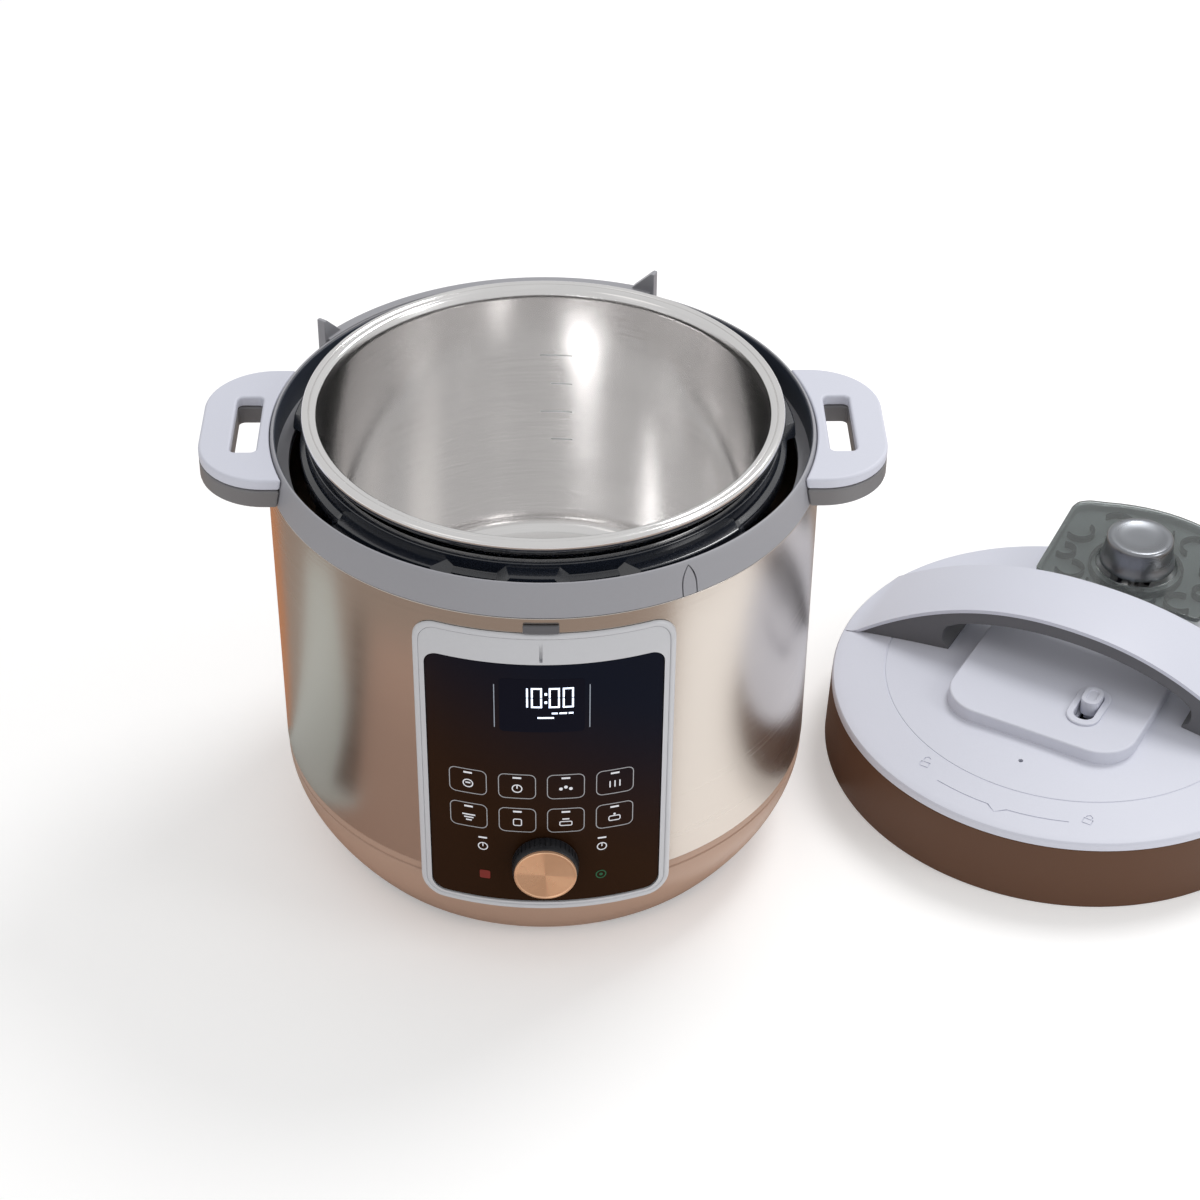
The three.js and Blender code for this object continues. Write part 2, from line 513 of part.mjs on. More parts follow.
// ---- lid: steam release ----
// The tray's outline in plan, moved inwards by an inset: straight sides and a bowed back.
function trayPlan(inset) {
  const { front, shoulder, rear, halfFront, halfRear, corner } = TRAY;
  const r = corner - inset;
  const [left, right] = [-halfRear + inset, halfRear - inset];
  const [near, side, far] = [front + inset, shoulder - inset, rear - inset];
  const shape = new THREE.Shape();
  shape.moveTo(-halfFront + inset, near);
  shape.lineTo(halfFront - inset, near);
  shape.lineTo(right, side - r);
  shape.quadraticCurveTo(right, side, right - r, side + 2);
  shape.quadraticCurveTo(0, 2 * far - side - 2, left + r, side + 2);
  shape.quadraticCurveTo(left, side, left, side - r);
  shape.closePath();
  return shape;
}

function makeTray() {
  const { standR, lip, top } = TRAY_HEIGHTS;
  const stand = common(raised(trayPlan(0), 40, lip + 1, 4), rod(standR, 30, lip + 2, SEGMENTS));
  const body = join(raised(trayPlan(0), lip, top, 4), stand);
  const inside = raised(trayPlan(TRAY.wall), lip + 2, top + 1, 4);
  const window = block([-WINDOW.half + 2, 60, 30], [WINDOW.half - 2, WINDOW.to - 1, 60]);
  return cut(body, coverEnvelope(), inside, window);
}

piece(lid, 'steam_tray', makeTray(), paint.plastic);
const seat = tube(8, VALVE.stemR + 0.8, DOME.top + GAP, DOME.top + 2, FINE);
piece(lid, 'valve_seat', seat.translate(VALVE.x, VALVE.y, 0), paint.silicone);
const shield = turned([[0, 24], [8, 24], [8, 37], [6.6, 37], [6.6, 25.4], [0, 25.4]], FINE);
const shieldSlots = [0, 60, 120].map((degrees) =>
  block([-9, -1.5, 28], [9, 1.5, 34]).rotateZ(radians(degrees)));
piece(lid, 'anti_block_shield', cut(shield, ...shieldSlots).translate(VALVE.x, VALVE.y, 0), paint.steel);

const smokedPlate = raised(trayPlan(0), TRAY_HEIGHTS.top + GAP, TRAY_HEIGHTS.cover, 4);
piece(lid, 'steam_cover', cut(smokedPlate, valveBore(VALVE.knobBase + 1.5, 40, 70)), paint.smoked);

const stemCollar = { r: 7, bottom: LEVER.top + GAP, top: LEVER.top + GAP + 2 };
const stemProfile = [[0, 30], [VALVE.stemR, 30], [VALVE.stemR, stemCollar.bottom],
  [stemCollar.r, stemCollar.bottom], [stemCollar.r, stemCollar.top], [VALVE.stemR, stemCollar.top],
  [VALVE.stemR, VALVE.bottom + 4], [0, VALVE.bottom + 4]];
piece(lid, 'steam_release_stem', turned(stemProfile, FINE).translate(VALVE.x, VALVE.y, 0), paint.steel);
const { bottom: knobLow, top: knobHigh, knobR, knobBase } = VALVE;
const knobSolid = turned([[0, knobLow], [knobBase - 1, knobLow], [knobBase, knobLow + 1],
  [knobBase, knobLow + 3], [knobR, knobHigh - 1], [knobR - 1, knobHigh], [knobR - 3, knobHigh], [0, knobHigh - 2.4]], 24);
const knob = cut(knobSolid, rod(VALVE.stemR + GAP, knobLow - 1, knobLow + 4 + GAP, FINE));
piece(lid, 'steam_release_knob', knob.translate(VALVE.x, VALVE.y, 0), paint.steel);

const { x: sliderX, front: sliderFront, rear: sliderRear, width: sliderWidth } = SLIDER;
const arm = LEVER.width / 2;
const leverPlan = polygon([[-arm, -10], [arm, -10], [sliderX - 3, sliderFront],
  [sliderX + 4, sliderFront + 6],
  [arm, 6], [arm, FORK.from - 4], [FORK.outer, FORK.from], [FORK.outer, FORK.to], [FORK.inner, FORK.to],
  [FORK.inner, FORK.from + 1], [-FORK.inner, FORK.from + 1], [-FORK.inner, FORK.to],
  [-FORK.outer, FORK.to], [-FORK.outer, FORK.from], [-arm, FORK.from - 4]]);
piece(lid, 'release_lever', raised(leverPlan, LEVER.bottom, LEVER.top), paint.steel);
const sliderFoot = block([sliderX - 3, sliderFront + 3, LEVER.top + GAP],
  [sliderX + 3, sliderRear - 3, SLIDER.top - 5]);
const half = sliderWidth / 2;
const button = roundedBox(sliderX - half, sliderFront, sliderX + half, sliderRear, 3);
piece(lid, 'release_slider', join(sliderFoot, raised(button, SLIDER.top - 6, SLIDER.top)), paint.plastic);

// ---- lid: float valve, pivot ball, seal ----
const floatPin = turned([[0, FLOAT.bottom + 3.4], [FLOAT.r, FLOAT.bottom + 3.4], [FLOAT.r, FLOAT.top - 0.8],
  [FLOAT.r - 0.8, FLOAT.top], [0, FLOAT.top]], FINE);
piece(lid, 'float_pin', floatPin.translate(FLOAT.x, FLOAT.y, 0), paint.steel);
const floatCap = turned([[0, FLOAT.bottom - 2], [4.4, FLOAT.bottom - 2], [5, FLOAT.bottom - 1],
  [5, FLOAT.bottom + 3.1], [0, FLOAT.bottom + 3.1]], FINE);
piece(lid, 'float_cap', floatCap.translate(FLOAT.x, FLOAT.y, 0), paint.silicone);
const ball = new THREE.SphereGeometry(BALL_R, 10, 6).rotateX(Math.PI / 2);
piece(lid, 'fulcrum_ball', ball.translate(0, 0, DOME.top + GAP + BALL_R), paint.steel);

const { inner: sealIn, outer: sealOut, bottom: sealLow, top: sealHigh } = RING;
const seal = [[sealIn, sealLow + 1.6], [sealIn + 2, sealLow], [sealOut - 1.4, sealLow],
  [sealOut, sealLow + 3],
  [sealOut, sealHigh - 2], [sealOut - 2.4, sealHigh], [sealIn + 3, sealHigh], [sealIn, sealHigh - 1.6]];
piece(lid, 'sealing_ring', turned(seal), paint.silicone);
piece(lid, 'sealing_ring_rack', tube(sealIn - 0.9, sealIn - 2.6, 29.5, 33.5), paint.steel);

export default cooker;
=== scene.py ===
import json
import math

import bmesh
import bpy
from mathutils import Matrix, Vector

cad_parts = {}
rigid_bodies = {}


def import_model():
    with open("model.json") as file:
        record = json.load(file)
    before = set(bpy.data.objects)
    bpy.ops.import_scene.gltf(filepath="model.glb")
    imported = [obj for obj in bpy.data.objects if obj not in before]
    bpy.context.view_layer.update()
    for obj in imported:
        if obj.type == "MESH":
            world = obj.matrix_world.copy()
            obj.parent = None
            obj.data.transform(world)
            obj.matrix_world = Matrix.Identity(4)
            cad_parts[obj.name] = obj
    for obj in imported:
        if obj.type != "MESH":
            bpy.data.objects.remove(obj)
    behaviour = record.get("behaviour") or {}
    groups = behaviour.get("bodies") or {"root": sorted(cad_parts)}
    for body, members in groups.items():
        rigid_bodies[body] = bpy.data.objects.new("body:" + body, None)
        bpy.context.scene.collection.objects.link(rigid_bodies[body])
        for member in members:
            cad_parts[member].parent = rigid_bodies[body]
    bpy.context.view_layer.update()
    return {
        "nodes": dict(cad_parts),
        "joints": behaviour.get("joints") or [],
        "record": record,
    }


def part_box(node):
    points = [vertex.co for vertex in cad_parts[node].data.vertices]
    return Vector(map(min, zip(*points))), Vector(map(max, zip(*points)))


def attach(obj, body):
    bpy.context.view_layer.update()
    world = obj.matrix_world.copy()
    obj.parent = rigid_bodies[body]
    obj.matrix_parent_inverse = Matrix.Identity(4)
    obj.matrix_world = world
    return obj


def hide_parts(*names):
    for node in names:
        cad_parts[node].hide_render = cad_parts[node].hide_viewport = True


for item in list(bpy.data.objects):
    bpy.data.objects.remove(item)  # nothing but this object's pieces
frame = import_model()
mm = 0.001  # pieces are drawn in millimetres and made metres at the end
fine = 160  # steps round the large turned pieces
small = 48  # steps round the small ones
print("frame loaded:", len(frame["nodes"]), "nodes")


def onCircle(degrees, radius, z=0.0):
    # A point at a direction from the front, positive to the right.
    angle = math.radians(degrees)
    return Vector((radius * math.sin(angle), -radius * math.cos(angle), z))


def softened(points, steps=4):
    # A point given as (across, up, roundness) becomes a small curve.
    result = []
    count = len(points)
    for index, point in enumerate(points):
        here = Vector(point[:2])
        if len(point) < 3:
            result.append(here)
            continue
        before, after = Vector(points[index - 1][:2]), Vector(points[(index + 1) % count][:2])
        start = here + (before - here).normalized() * point[2]
        end = here + (after - here).normalized() * point[2]
        for step in range(steps + 1):
            share = step / steps
            result.append(start.lerp(here, share).lerp(here.lerp(end, share), share))
    return result


def spun(profile, steps=fine, start=0, end=360):
    # A profile of (radius, height) spun about the upright axis; off the axis it closes on itself.
    bm = bmesh.new()
    verts = [bm.verts.new(onCircle(start, radius, z)) for radius, z in profile]
    edges = [bm.edges.new(pair) for pair in zip(verts, verts[1:])]
    if profile[0][0] > 1e-6 or profile[-1][0] > 1e-6:
        edges.append(bm.edges.new((verts[-1], verts[0])))
    whole = end - start == 360
    bmesh.ops.spin(bm, geom=verts + edges, cent=(0, 0, 0), axis=(0, 0, 1),
                   angle=math.radians(end - start), steps=steps, use_merge=whole)
    bmesh.ops.remove_doubles(bm, verts=bm.verts, dist=1e-4)
    if not whole:
        bmesh.ops.holes_fill(bm, edges=[edge for edge in bm.edges if edge.is_boundary], sides=0)
    bmesh.ops.recalc_face_normals(bm, faces=bm.faces)
    return bm


def roundEdges(bm, edges, offset, segments):
    bmesh.ops.bevel(bm, geom=edges, offset=offset, affect="EDGES", segments=segments,
                    profile=0.5, material=-1)


def rod(radius, low, high, steps=32):
    return spun([(0, low), (radius, low), (radius, high), (0, high)], steps)


def slab(low, high, corner=0, along=2, segments=8):
    # A box whose edges along one direction are rounded.
    bm = bmesh.new()
    low, high = Vector(low), Vector(high)
    place = Matrix.Translation((low + high) / 2) @ Matrix.Diagonal((*(high - low), 1))
    bmesh.ops.create_cube(bm, size=1, matrix=place)
    if corner:
        rounded = [edge for edge in bm.edges
                   if abs((edge.verts[0].co - edge.verts[1].co)[along]) > 1e-6]
        roundEdges(bm, rounded, corner, segments)
    return bm


def raised(outline, low, high):
    # A flat outline of (x, y) points raised between two heights.
    bm = bmesh.new()
    face = bm.faces.new([bm.verts.new((x, y, low)) for x, y in outline])
    top = bmesh.ops.extrude_face_region(bm, geom=[face])["geom"]
    bmesh.ops.translate(bm, vec=(0, 0, high - low),
                        verts=[part for part in top if isinstance(part, bmesh.types.BMVert)])
    bmesh.ops.recalc_face_normals(bm, faces=bm.faces)
    return bm


def moved(bm, *matrices):
    for matrix in matrices:
        bmesh.ops.transform(bm, matrix=matrix, verts=bm.verts)
    return bm


def shift(x=0, y=0, z=0):
    return Matrix.Translation((x, y, z))


def turn(degrees, axis="Z"):
    return Matrix.Rotation(math.radians(degrees), 4, axis)


def meshOf(bm, name="part"):
    mesh = bpy.data.meshes.new(name)
    bm.to_mesh(mesh)
    bm.free()
    return mesh


def addObject(name, data):
    item = bpy.data.objects.new(name, data)
    bpy.context.collection.objects.link(item)
    return item


def gathered(parts):
    bm = bmesh.new()
    for part in parts:
        mesh = meshOf(part)
        bm.from_mesh(mesh)
        bpy.data.meshes.remove(mesh)
    return bm


def carved(bm, *cutters, how="DIFFERENCE", crossing=False):
    # Cuts the cutters out of a shape, or keeps what they share with it.
    target = addObject("carving", meshOf(bm))
    tools = []
    for cutter in cutters:
        tool = addObject("cutter", meshOf(cutter))
        tools.append(tool)
        modifier = target.modifiers.new("cut", "BOOLEAN")
        modifier.operation, modifier.solver, modifier.object = how, "EXACT", tool
        modifier.use_self = crossing  # the cutter's own parts cross each other
    graph = bpy.context.evaluated_depsgraph_get()
    mesh = bpy.data.meshes.new_from_object(target.evaluated_get(graph))
    result = bmesh.new()
    result.from_mesh(mesh)
    for item in [target, *tools]:
        bpy.data.objects.remove(item)
    return result


def sliced(bm, along, first, last, step):
    # Cuts loops across a shape, so that it can bend.
    normal = Vector((0, 0, 0))
    normal[along] = 1
    place = first
    while place < last:
        bmesh.ops.bisect_plane(bm, geom=[*bm.verts, *bm.edges, *bm.faces], plane_co=normal * place,
                               plane_no=normal, dist=1e-5)
        place += step
    return bm


def wrapped(bm, step=3.0):
    # Bends a flat panel piece, whose depth is given as a radius, round the cooker's axis.
    across = [vert.co.x for vert in bm.verts]
    low, high = min(across), max(across)
    sliced(bm, 0, math.ceil(low / step) * step, high, step)
    for vert in bm.verts:
        vert.co.y = -math.sqrt(max(vert.co.y ** 2 - vert.co.x ** 2, 0))
    return bm


def bar(x0, x1, z0, z1, front, back, corner=0.0):
    # A flat mark on the control panel between two radii.
    return wrapped(slab((x0, -front, z0), (x1, -back, z1), corner, along=1, segments=5))


def outlineBar(x0, x1, z0, z1, front, back, corner, line):
    outer = slab((x0, -front, z0), (x1, -back, z1), corner, along=1, segments=5)
    inner = slab((x0 + line, -front - 1, z0 + line), (x1 - line, -back + 1, z1 - line),
                 corner - line, along=1, segments=5)
    return wrapped(carved(outer, inner))


finishes = {}


def fill(node, **values):
    # Sets a node's own settings and, by name, its sockets.
    for key, value in values.items():
        if hasattr(node, key):
            setattr(node, key, value)
        else:
            node.inputs[key.replace("_", " ")].default_value = value
    return node


def nodeIn(tree, kind, **values):
    return fill(tree.nodes.new(kind), **values)


def mathNode(tree, operation, *values):
    # One sum of sockets and plain numbers.
    node = nodeIn(tree, "ShaderNodeMath", operation=operation)
    for socket, value in zip(node.inputs, values):
        if isinstance(value, bpy.types.NodeSocket):
            tree.links.new(value, socket)
        else:
            socket.default_value = value
    return node.outputs[0]


def makeFinish(name, colour, roughness, metallic=0.0, grain=(900, 900, 900), bump=0.05,
               vary=0.05, coat=0.0, coatRoughness=0.1, specular=0.5, patches=18, roughVary=0.06,
               anisotropic=0.0, tangentAxis="Z", transmission=0.0, ior=1.5, emission=None,
               paintedReflection=None, paintedHighlight=None):
    # A base colour with slow patches, and a fine grain that moves the roughness and the relief.
    material = bpy.data.materials.new(name)
    material.use_nodes = True
    tree = material.node_tree
    shader = tree.nodes["Principled BSDF"]
    link = tree.links.new
    place = nodeIn(tree, "ShaderNodeTexCoord").outputs["Object"]
    scale = nodeIn(tree, "ShaderNodeMapping", Scale=grain)
    link(place, scale.inputs["Vector"])
    fineNoise = nodeIn(tree, "ShaderNodeTexNoise", Scale=1.0, Detail=4.0)
    link(scale.outputs[0], fineNoise.inputs["Vector"])
    slowNoise = nodeIn(tree, "ShaderNodeTexNoise", Scale=patches, Detail=3.0)
    link(place, slowNoise.inputs["Vector"])
    mixed = mathNode(tree, "ADD", fineNoise.outputs["Fac"], slowNoise.outputs["Fac"])

    shade = nodeIn(tree, "ShaderNodeMapRange", From_Min=0.6, From_Max=1.4, To_Min=1 - vary,
                   To_Max=1 + vary)
    link(mixed, shade.inputs["Value"])
    paintMix = nodeIn(tree, "ShaderNodeVectorMath", operation="SCALE")
    paintMix.inputs[0].default_value = colour
    if paintedReflection:
        # Painted reflection: a second colour that takes over along a direction, in metres of the
        # frame.
        ramp = nodeIn(tree, "ShaderNodeVectorMath", operation="DOT_PRODUCT")
        link(place, ramp.inputs[0])
        ramp.inputs[1].default_value = paintedReflection["direction"]
        spread = nodeIn(tree, "ShaderNodeMapRange", From_Min=paintedReflection["start"], From_Max=paintedReflection["end"],
                        interpolation_type="SMOOTHSTEP")
        link(ramp.outputs["Value"], spread.inputs["Value"])
        blend = nodeIn(tree, "ShaderNodeMix", data_type="RGBA")
        blend.inputs[6].default_value = (*colour, 1)
        blend.inputs[7].default_value = (*paintedReflection["colour"], 1)
        link(spread.outputs[0], blend.inputs[0])
        link(blend.outputs[2], paintMix.inputs[0])
    level = shade.outputs[0]
    if paintedHighlight:
        # Painted highlight: two opposite wedges of a spun face are kept lighter and the rest
        # darkened in the base colour.
        split = nodeIn(tree, "ShaderNodeSeparateXYZ")
        link(place, split.inputs[0])
        rise = mathNode(tree, "SUBTRACT", split.outputs["Z"], paintedHighlight["z"])
        around = mathNode(tree, "ARCTAN2", rise, split.outputs["X"])
        wave = mathNode(tree, "SINE", mathNode(tree, "MULTIPLY_ADD", around, 2, math.pi))
        highlightWedge = nodeIn(tree, "ShaderNodeMapRange", From_Min=-0.1, From_Max=0.5,
                       To_Min=paintedHighlight["low"], To_Max=paintedHighlight["high"],
                       interpolation_type="SMOOTHSTEP")
        link(wave, highlightWedge.inputs["Value"])
        level = mathNode(tree, "MULTIPLY", level, highlightWedge.outputs[0])
    link(level, paintMix.inputs["Scale"])
    link(paintMix.outputs[0], shader.inputs["Base Color"])

    rough = nodeIn(tree, "ShaderNodeMapRange", From_Min=0.6, From_Max=1.4,
                   To_Min=max(roughness - roughVary, 0.02), To_Max=roughness + roughVary)
    link(mixed, rough.inputs["Value"])
    link(rough.outputs[0], shader.inputs["Roughness"])
    relief = nodeIn(tree, "ShaderNodeBump", Strength=bump, Distance=0.0004)
    link(fineNoise.outputs["Fac"], relief.inputs["Height"])
    link(relief.outputs[0], shader.inputs["Normal"])

    fill(shader, Metallic=metallic, IOR=ior, Specular_IOR_Level=specular, Coat_Weight=coat,
         Coat_Roughness=coatRoughness, Transmission_Weight=transmission)
    if anisotropic:
        fill(shader, Anisotropic=anisotropic)
        tangent = nodeIn(tree, "ShaderNodeTangent", direction_type="RADIAL", axis=tangentAxis)
        link(tangent.outputs[0], shader.inputs["Tangent"])
    if emission:
        fill(shader, Emission_Color=(*emission[0], 1), Emission_Strength=emission[1])
    finishes[name] = material


makeFinish("grey_plastic", (0.615, 0.628, 0.71), 0.46, vary=0.015, roughVary=0.04)
# A darker grey: the rear ledge's own colour, and on the collar ring painted shade, the handles'
# grey made darker where less light falls.
makeFinish("ledge_grey_and_collar_shade", (0.32, 0.32, 0.345), 0.4, vary=0.02, roughVary=0.04)
makeFinish("grip_shell", (0.19, 0.185, 0.19), 0.42, vary=0.03, roughVary=0.04)
makeFinish("tray_plastic", (0.46, 0.47, 0.475), 0.42, vary=0.03, roughVary=0.04)
makeFinish("taupe_plastic", (0.105, 0.045, 0.021), 0.5, vary=0.03, specular=0.35)
makeFinish("warm_plastic", (0.44, 0.285, 0.21), 0.34, vary=0.03)
makeFinish("dark_plastic", (0.115, 0.115, 0.125), 0.5, vary=0.04)
makeFinish("black_plastic", (0.014, 0.015, 0.018), 0.38, vary=0.1)
makeFinish("black_enamel", (0.010, 0.013, 0.021), 0.26, bump=0.03, vary=0.12, coat=1.0,
           coatRoughness=0.12)
# Dark blue-grey for a thin band on the collar's inner wall: painted shade.
makeFinish("shade_band_paint", (0.045, 0.055, 0.08), 0.4, vary=0.05)
makeFinish("bezel_plastic", (0.57, 0.575, 0.60), 0.34, bump=0.03, vary=0.015, coat=0.25,
           coatRoughness=0.2)
# The black window's colour runs from brown-black to navy-black across it: painted reflection of
# warm and cool surroundings.
makeFinish("panel_glass", (0.026, 0.011, 0.005), 0.16, bump=0.0, vary=0.04, roughVary=0.02,
           specular=0.07, paintedReflection={"colour": (0.006, 0.008, 0.016), "direction": (0.6, 0, 1.0),
                                "start": 0.08, "end": 0.2})
makeFinish("brushed_shell", (0.72, 0.675, 0.63), 0.24, metallic=1.0, grain=(7, 7, 2600), bump=0.06,
           vary=0.045, anisotropic=0.55, roughVary=0.05, patches=6)
makeFinish("polished_steel", (0.85, 0.84, 0.835), 0.16, metallic=1.0, grain=(30, 30, 1500),
           bump=0.06, vary=0.03, roughVary=0.05)
# Painted highlight on the copper face: lighter wedges in its colour, and a faint glow though it is
# no lamp.
makeFinish("copper_face", (1.0, 0.63, 0.40), 0.3, metallic=0.8, grain=(400, 400, 400), bump=0.01,
           vary=0.03, anisotropic=0.9, tangentAxis="Y",
           paintedHighlight={"z": 0.0688, "low": 0.72, "high": 1.0}, emission=((0.9, 0.5, 0.3), 0.13))
makeFinish("knob_steel", (0.27, 0.28, 0.30), 0.3, metallic=1.0, grain=(30, 30, 1500), vary=0.04)
makeFinish("aluminium", (0.52, 0.53, 0.55), 0.36, metallic=1.0, bump=0.06, vary=0.06)
makeFinish("brass", (0.58, 0.38, 0.13), 0.32, metallic=1.0, vary=0.06)
makeFinish("circuit_board", (0.014, 0.1, 0.042), 0.45, vary=0.15, coat=0.3)
makeFinish("silicone", (0.62, 0.62, 0.58), 0.5, bump=0.08, vary=0.03)
makeFinish("smoked_plastic", (0.52, 0.56, 0.555), 0.08, bump=0.01, vary=0.02, transmission=0.92,
           ior=1.46, roughVary=0.02)
makeFinish("clear_plastic", (0.74, 0.79, 0.80), 0.14, bump=0.01, vary=0.02, transmission=0.55,
           ior=1.46, roughVary=0.02)
# The white print also glows a little though it is no lamp: painted light.
for name, colour, emission in [("print_pale", (0.40, 0.40, 0.42), None),
                               ("print_white", (0.62, 0.62, 0.64), ((0.8, 0.82, 0.9), 0.25)),
                               ("print_red", (0.22, 0.018, 0.012), None),
                               ("print_green", (0.012, 0.12, 0.05), None),
                               ("print_line", (0.34, 0.38, 0.45), None)]:
    makeFinish(name, colour, 0.4, bump=0.0, vary=0.02, emission=emission)
makeFinish("lit_digits", (0.75, 0.82, 1.0), 0.4, bump=0.0, vary=0.01,
           emission=((0.72, 0.82, 1.0), 1.5))
makeFinish("display_glass", (0.006, 0.0065, 0.013), 0.12, bump=0.0, vary=0.05, specular=0.07)
print("finishes made:", len(finishes))


def finishPiece(name, bm, body, finish, nodes=(), place=None, bevel=0.0, segments=2, angle=38,
                look=None, evened=False):
    # Puts a shape in place in metres, smooths it, paints it and hangs it on its body.
    if evened:
        bmesh.ops.remove_doubles(bm, verts=bm.verts, dist=0.02)
        bmesh.ops.dissolve_degenerate(bm, edges=bm.edges, dist=0.02)
    moved(bm, (place or Matrix.Identity(4)) @ Matrix.Scale(mm, 4))
    bmesh.ops.recalc_face_normals(bm, faces=bm.faces)
    mesh = meshOf(bm, name)
    mesh.shade_smooth()
    mesh.set_sharp_from_angle(angle=math.radians(angle))
    mesh.materials.append(finishes[look or finish])
    piece = addObject(name, mesh)
    if bevel:
        modifier = piece.modifiers.new("softEdges", "BEVEL")
        modifier.width, modifier.segments = bevel * mm, segments
        modifier.limit_method, modifier.angle_limit = "ANGLE", math.radians(angle)
        modifier.harden_normals = True
    if evened:
        piece.modifiers.new("evenShade", "WEIGHTED_NORMAL").keep_sharp = True
    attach(piece, body)
    if nodes:
        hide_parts(*nodes)
    return piece


ring = {"rBottom": 117, "r": 138, "wall": 3, "bottom": 0.6, "curveTop": 44, "top": 52,
        "roundness": 1.6, "groove": 46.4}
inlet = {"half": 15.3, "bottom": 12.7, "top": 35.3}  # the hole for the power inlet
pad = {"inner": 98, "outer": 112.6, "bottom": -4, "top": -0.3, "halfAngle": 17}
housing = {"r": 138.4, "wall": 1.2, "bottom": 52.3, "top": 217.3, "holeHalf": 46,
           "holeBottom": 56, "holeTop": 188}
collar = {"rBottom": 138.6, "rTop": 135.1, "lipInner": 134, "floor": 218.2, "top": 235.2,
          "inner": 127.4, "under": 217.6, "mark": 29.5}
ledge = {"r": 140.6, "top": 236, "start": -204.8, "end": -124.5, "inner": 134.6}
fin = {"top": 247, "thick": 5, "base": 11, "tip": 2, "r": 138.5}


def ringRadius(z):
    return ring["rBottom"] + (ring["r"] - ring["rBottom"]) * (
        1 - (1 - min(z / ring["curveTop"], 1)) ** ring["roundness"])


def makeBaseRing():
    heights = [ring["bottom"] + (ring["curveTop"] - ring["bottom"]) * step / 16
               for step in range(17)]
    outside = [(ringRadius(z), z) for z in heights]
    groove = [(ring["r"] - depth, ring["groove"] + rise)
              for depth, rise in ((0, 0), (0.7, 0.5), (0.7, 1.1), (0, 1.6))]
    inside = [(radius - ring["wall"], z) for radius, z in reversed(outside)]
    body = spun(softened([*outside, *groove, (ring["r"], ring["top"], 0.6),
                          (ring["r"] - ring["wall"], ring["top"]), *inside]))
    return carved(body, slab((-inlet["half"], 110, inlet["bottom"]),
                             (inlet["half"], 150, inlet["top"])))


finishPiece("base_ring_shell", makeBaseRing(), "base", "warm_plastic", ["base_ring"])
for direction, word in [(-3, "front"), (87, "right"), (177, "rear"), (267, "left")]:
    profile = softened([(pad["inner"], pad["bottom"], 1), (pad["outer"], pad["bottom"], 1),
                        (pad["outer"], pad["top"], 0.4), (pad["inner"], pad["top"], 0.4)])
    start, end = direction - pad["halfAngle"], direction + pad["halfAngle"]
    finishPiece(f"foot_pad_{word}", spun(profile, 20, start, end), "base", "warm_plastic",
                [f"foot_{word}"])

shell = softened([(housing["r"], housing["bottom"], 0.4), (housing["r"], housing["top"], 0.4),
                  (housing["r"] - housing["wall"], housing["top"]),
                  (housing["r"] - housing["wall"], housing["bottom"])])
panelHole = slab((-housing["holeHalf"], -150, housing["holeBottom"]),
                 (housing["holeHalf"], -100, housing["holeTop"]))
finishPiece("steel_shell", carved(spun(shell, 200), panelHole), "base", "brushed_shell",
            ["outer_housing"], angle=50)


def archOutline(halfWidth, foot, height):
    # A pointed arch, upright, seen from the front.
    points = [(halfWidth, foot)]
    for step in range(9):
        share = step / 8
        points.append((halfWidth * (1 - share ** 2.2), foot + height * (0.35 + 0.65 * share)))
    return points + [(-x, z) for x, z in reversed(points[:-1])]


def uprightCut(outline, near, far):
    # An outline seen from the front, pushed back between two depths.
    return moved(raised(outline, 0, far - near), turn(90, "X"), shift(0, far, 0))


def makeCollar():
    sides = softened([
        (collar["inner"], collar["floor"], 0.4), (collar["inner"], collar["under"] - 4),
        (housing["r"] - 1.6, collar["under"] - 4), (housing["r"] - 1.6, collar["under"]),
        (collar["rBottom"], collar["under"], 0.6),
        (collar["rBottom"] - 0.7, collar["under"] + 4.4, 2),
        (collar["rTop"] + 0.6, collar["top"] - 1.2, 0.9), (collar["rTop"], collar["top"], 0.5),
        (collar["lipInner"], collar["top"], 0.4), (collar["lipInner"], collar["floor"], 0.8),
    ])
    foot, height = collar["under"] - 1, 17
    mark = carved(uprightCut(archOutline(4.2, foot, height), -139, -134.6),
                  uprightCut(archOutline(3.5, foot - 1, height + 0.2), -150, -130))
    return carved(spun(sides, 180), moved(mark, turn(collar["mark"])))


# The collar ring is painted darker than the handles' grey: painted shade.
finishPiece("collar_ring", makeCollar(), "base", "grey_plastic", ["upper_collar"],
            look="ledge_grey_and_collar_shade")
# A thin dark band on the collar's inner wall, where the steep wall lies in shadow: painted shade.
shadeBand = softened([(collar["lipInner"] - 0.02, collar["top"] - 0.7, 0.2),
                  (collar["lipInner"] - 0.02, collar["floor"] + 0.4),
                  (collar["lipInner"] - 0.5, collar["floor"] + 0.4),
                  (collar["lipInner"] - 0.5, collar["top"] - 1, 0.2)])
finishPiece("collar_shade_band", spun(shadeBand, 180), "base", "grey_plastic", look="shade_band_paint")

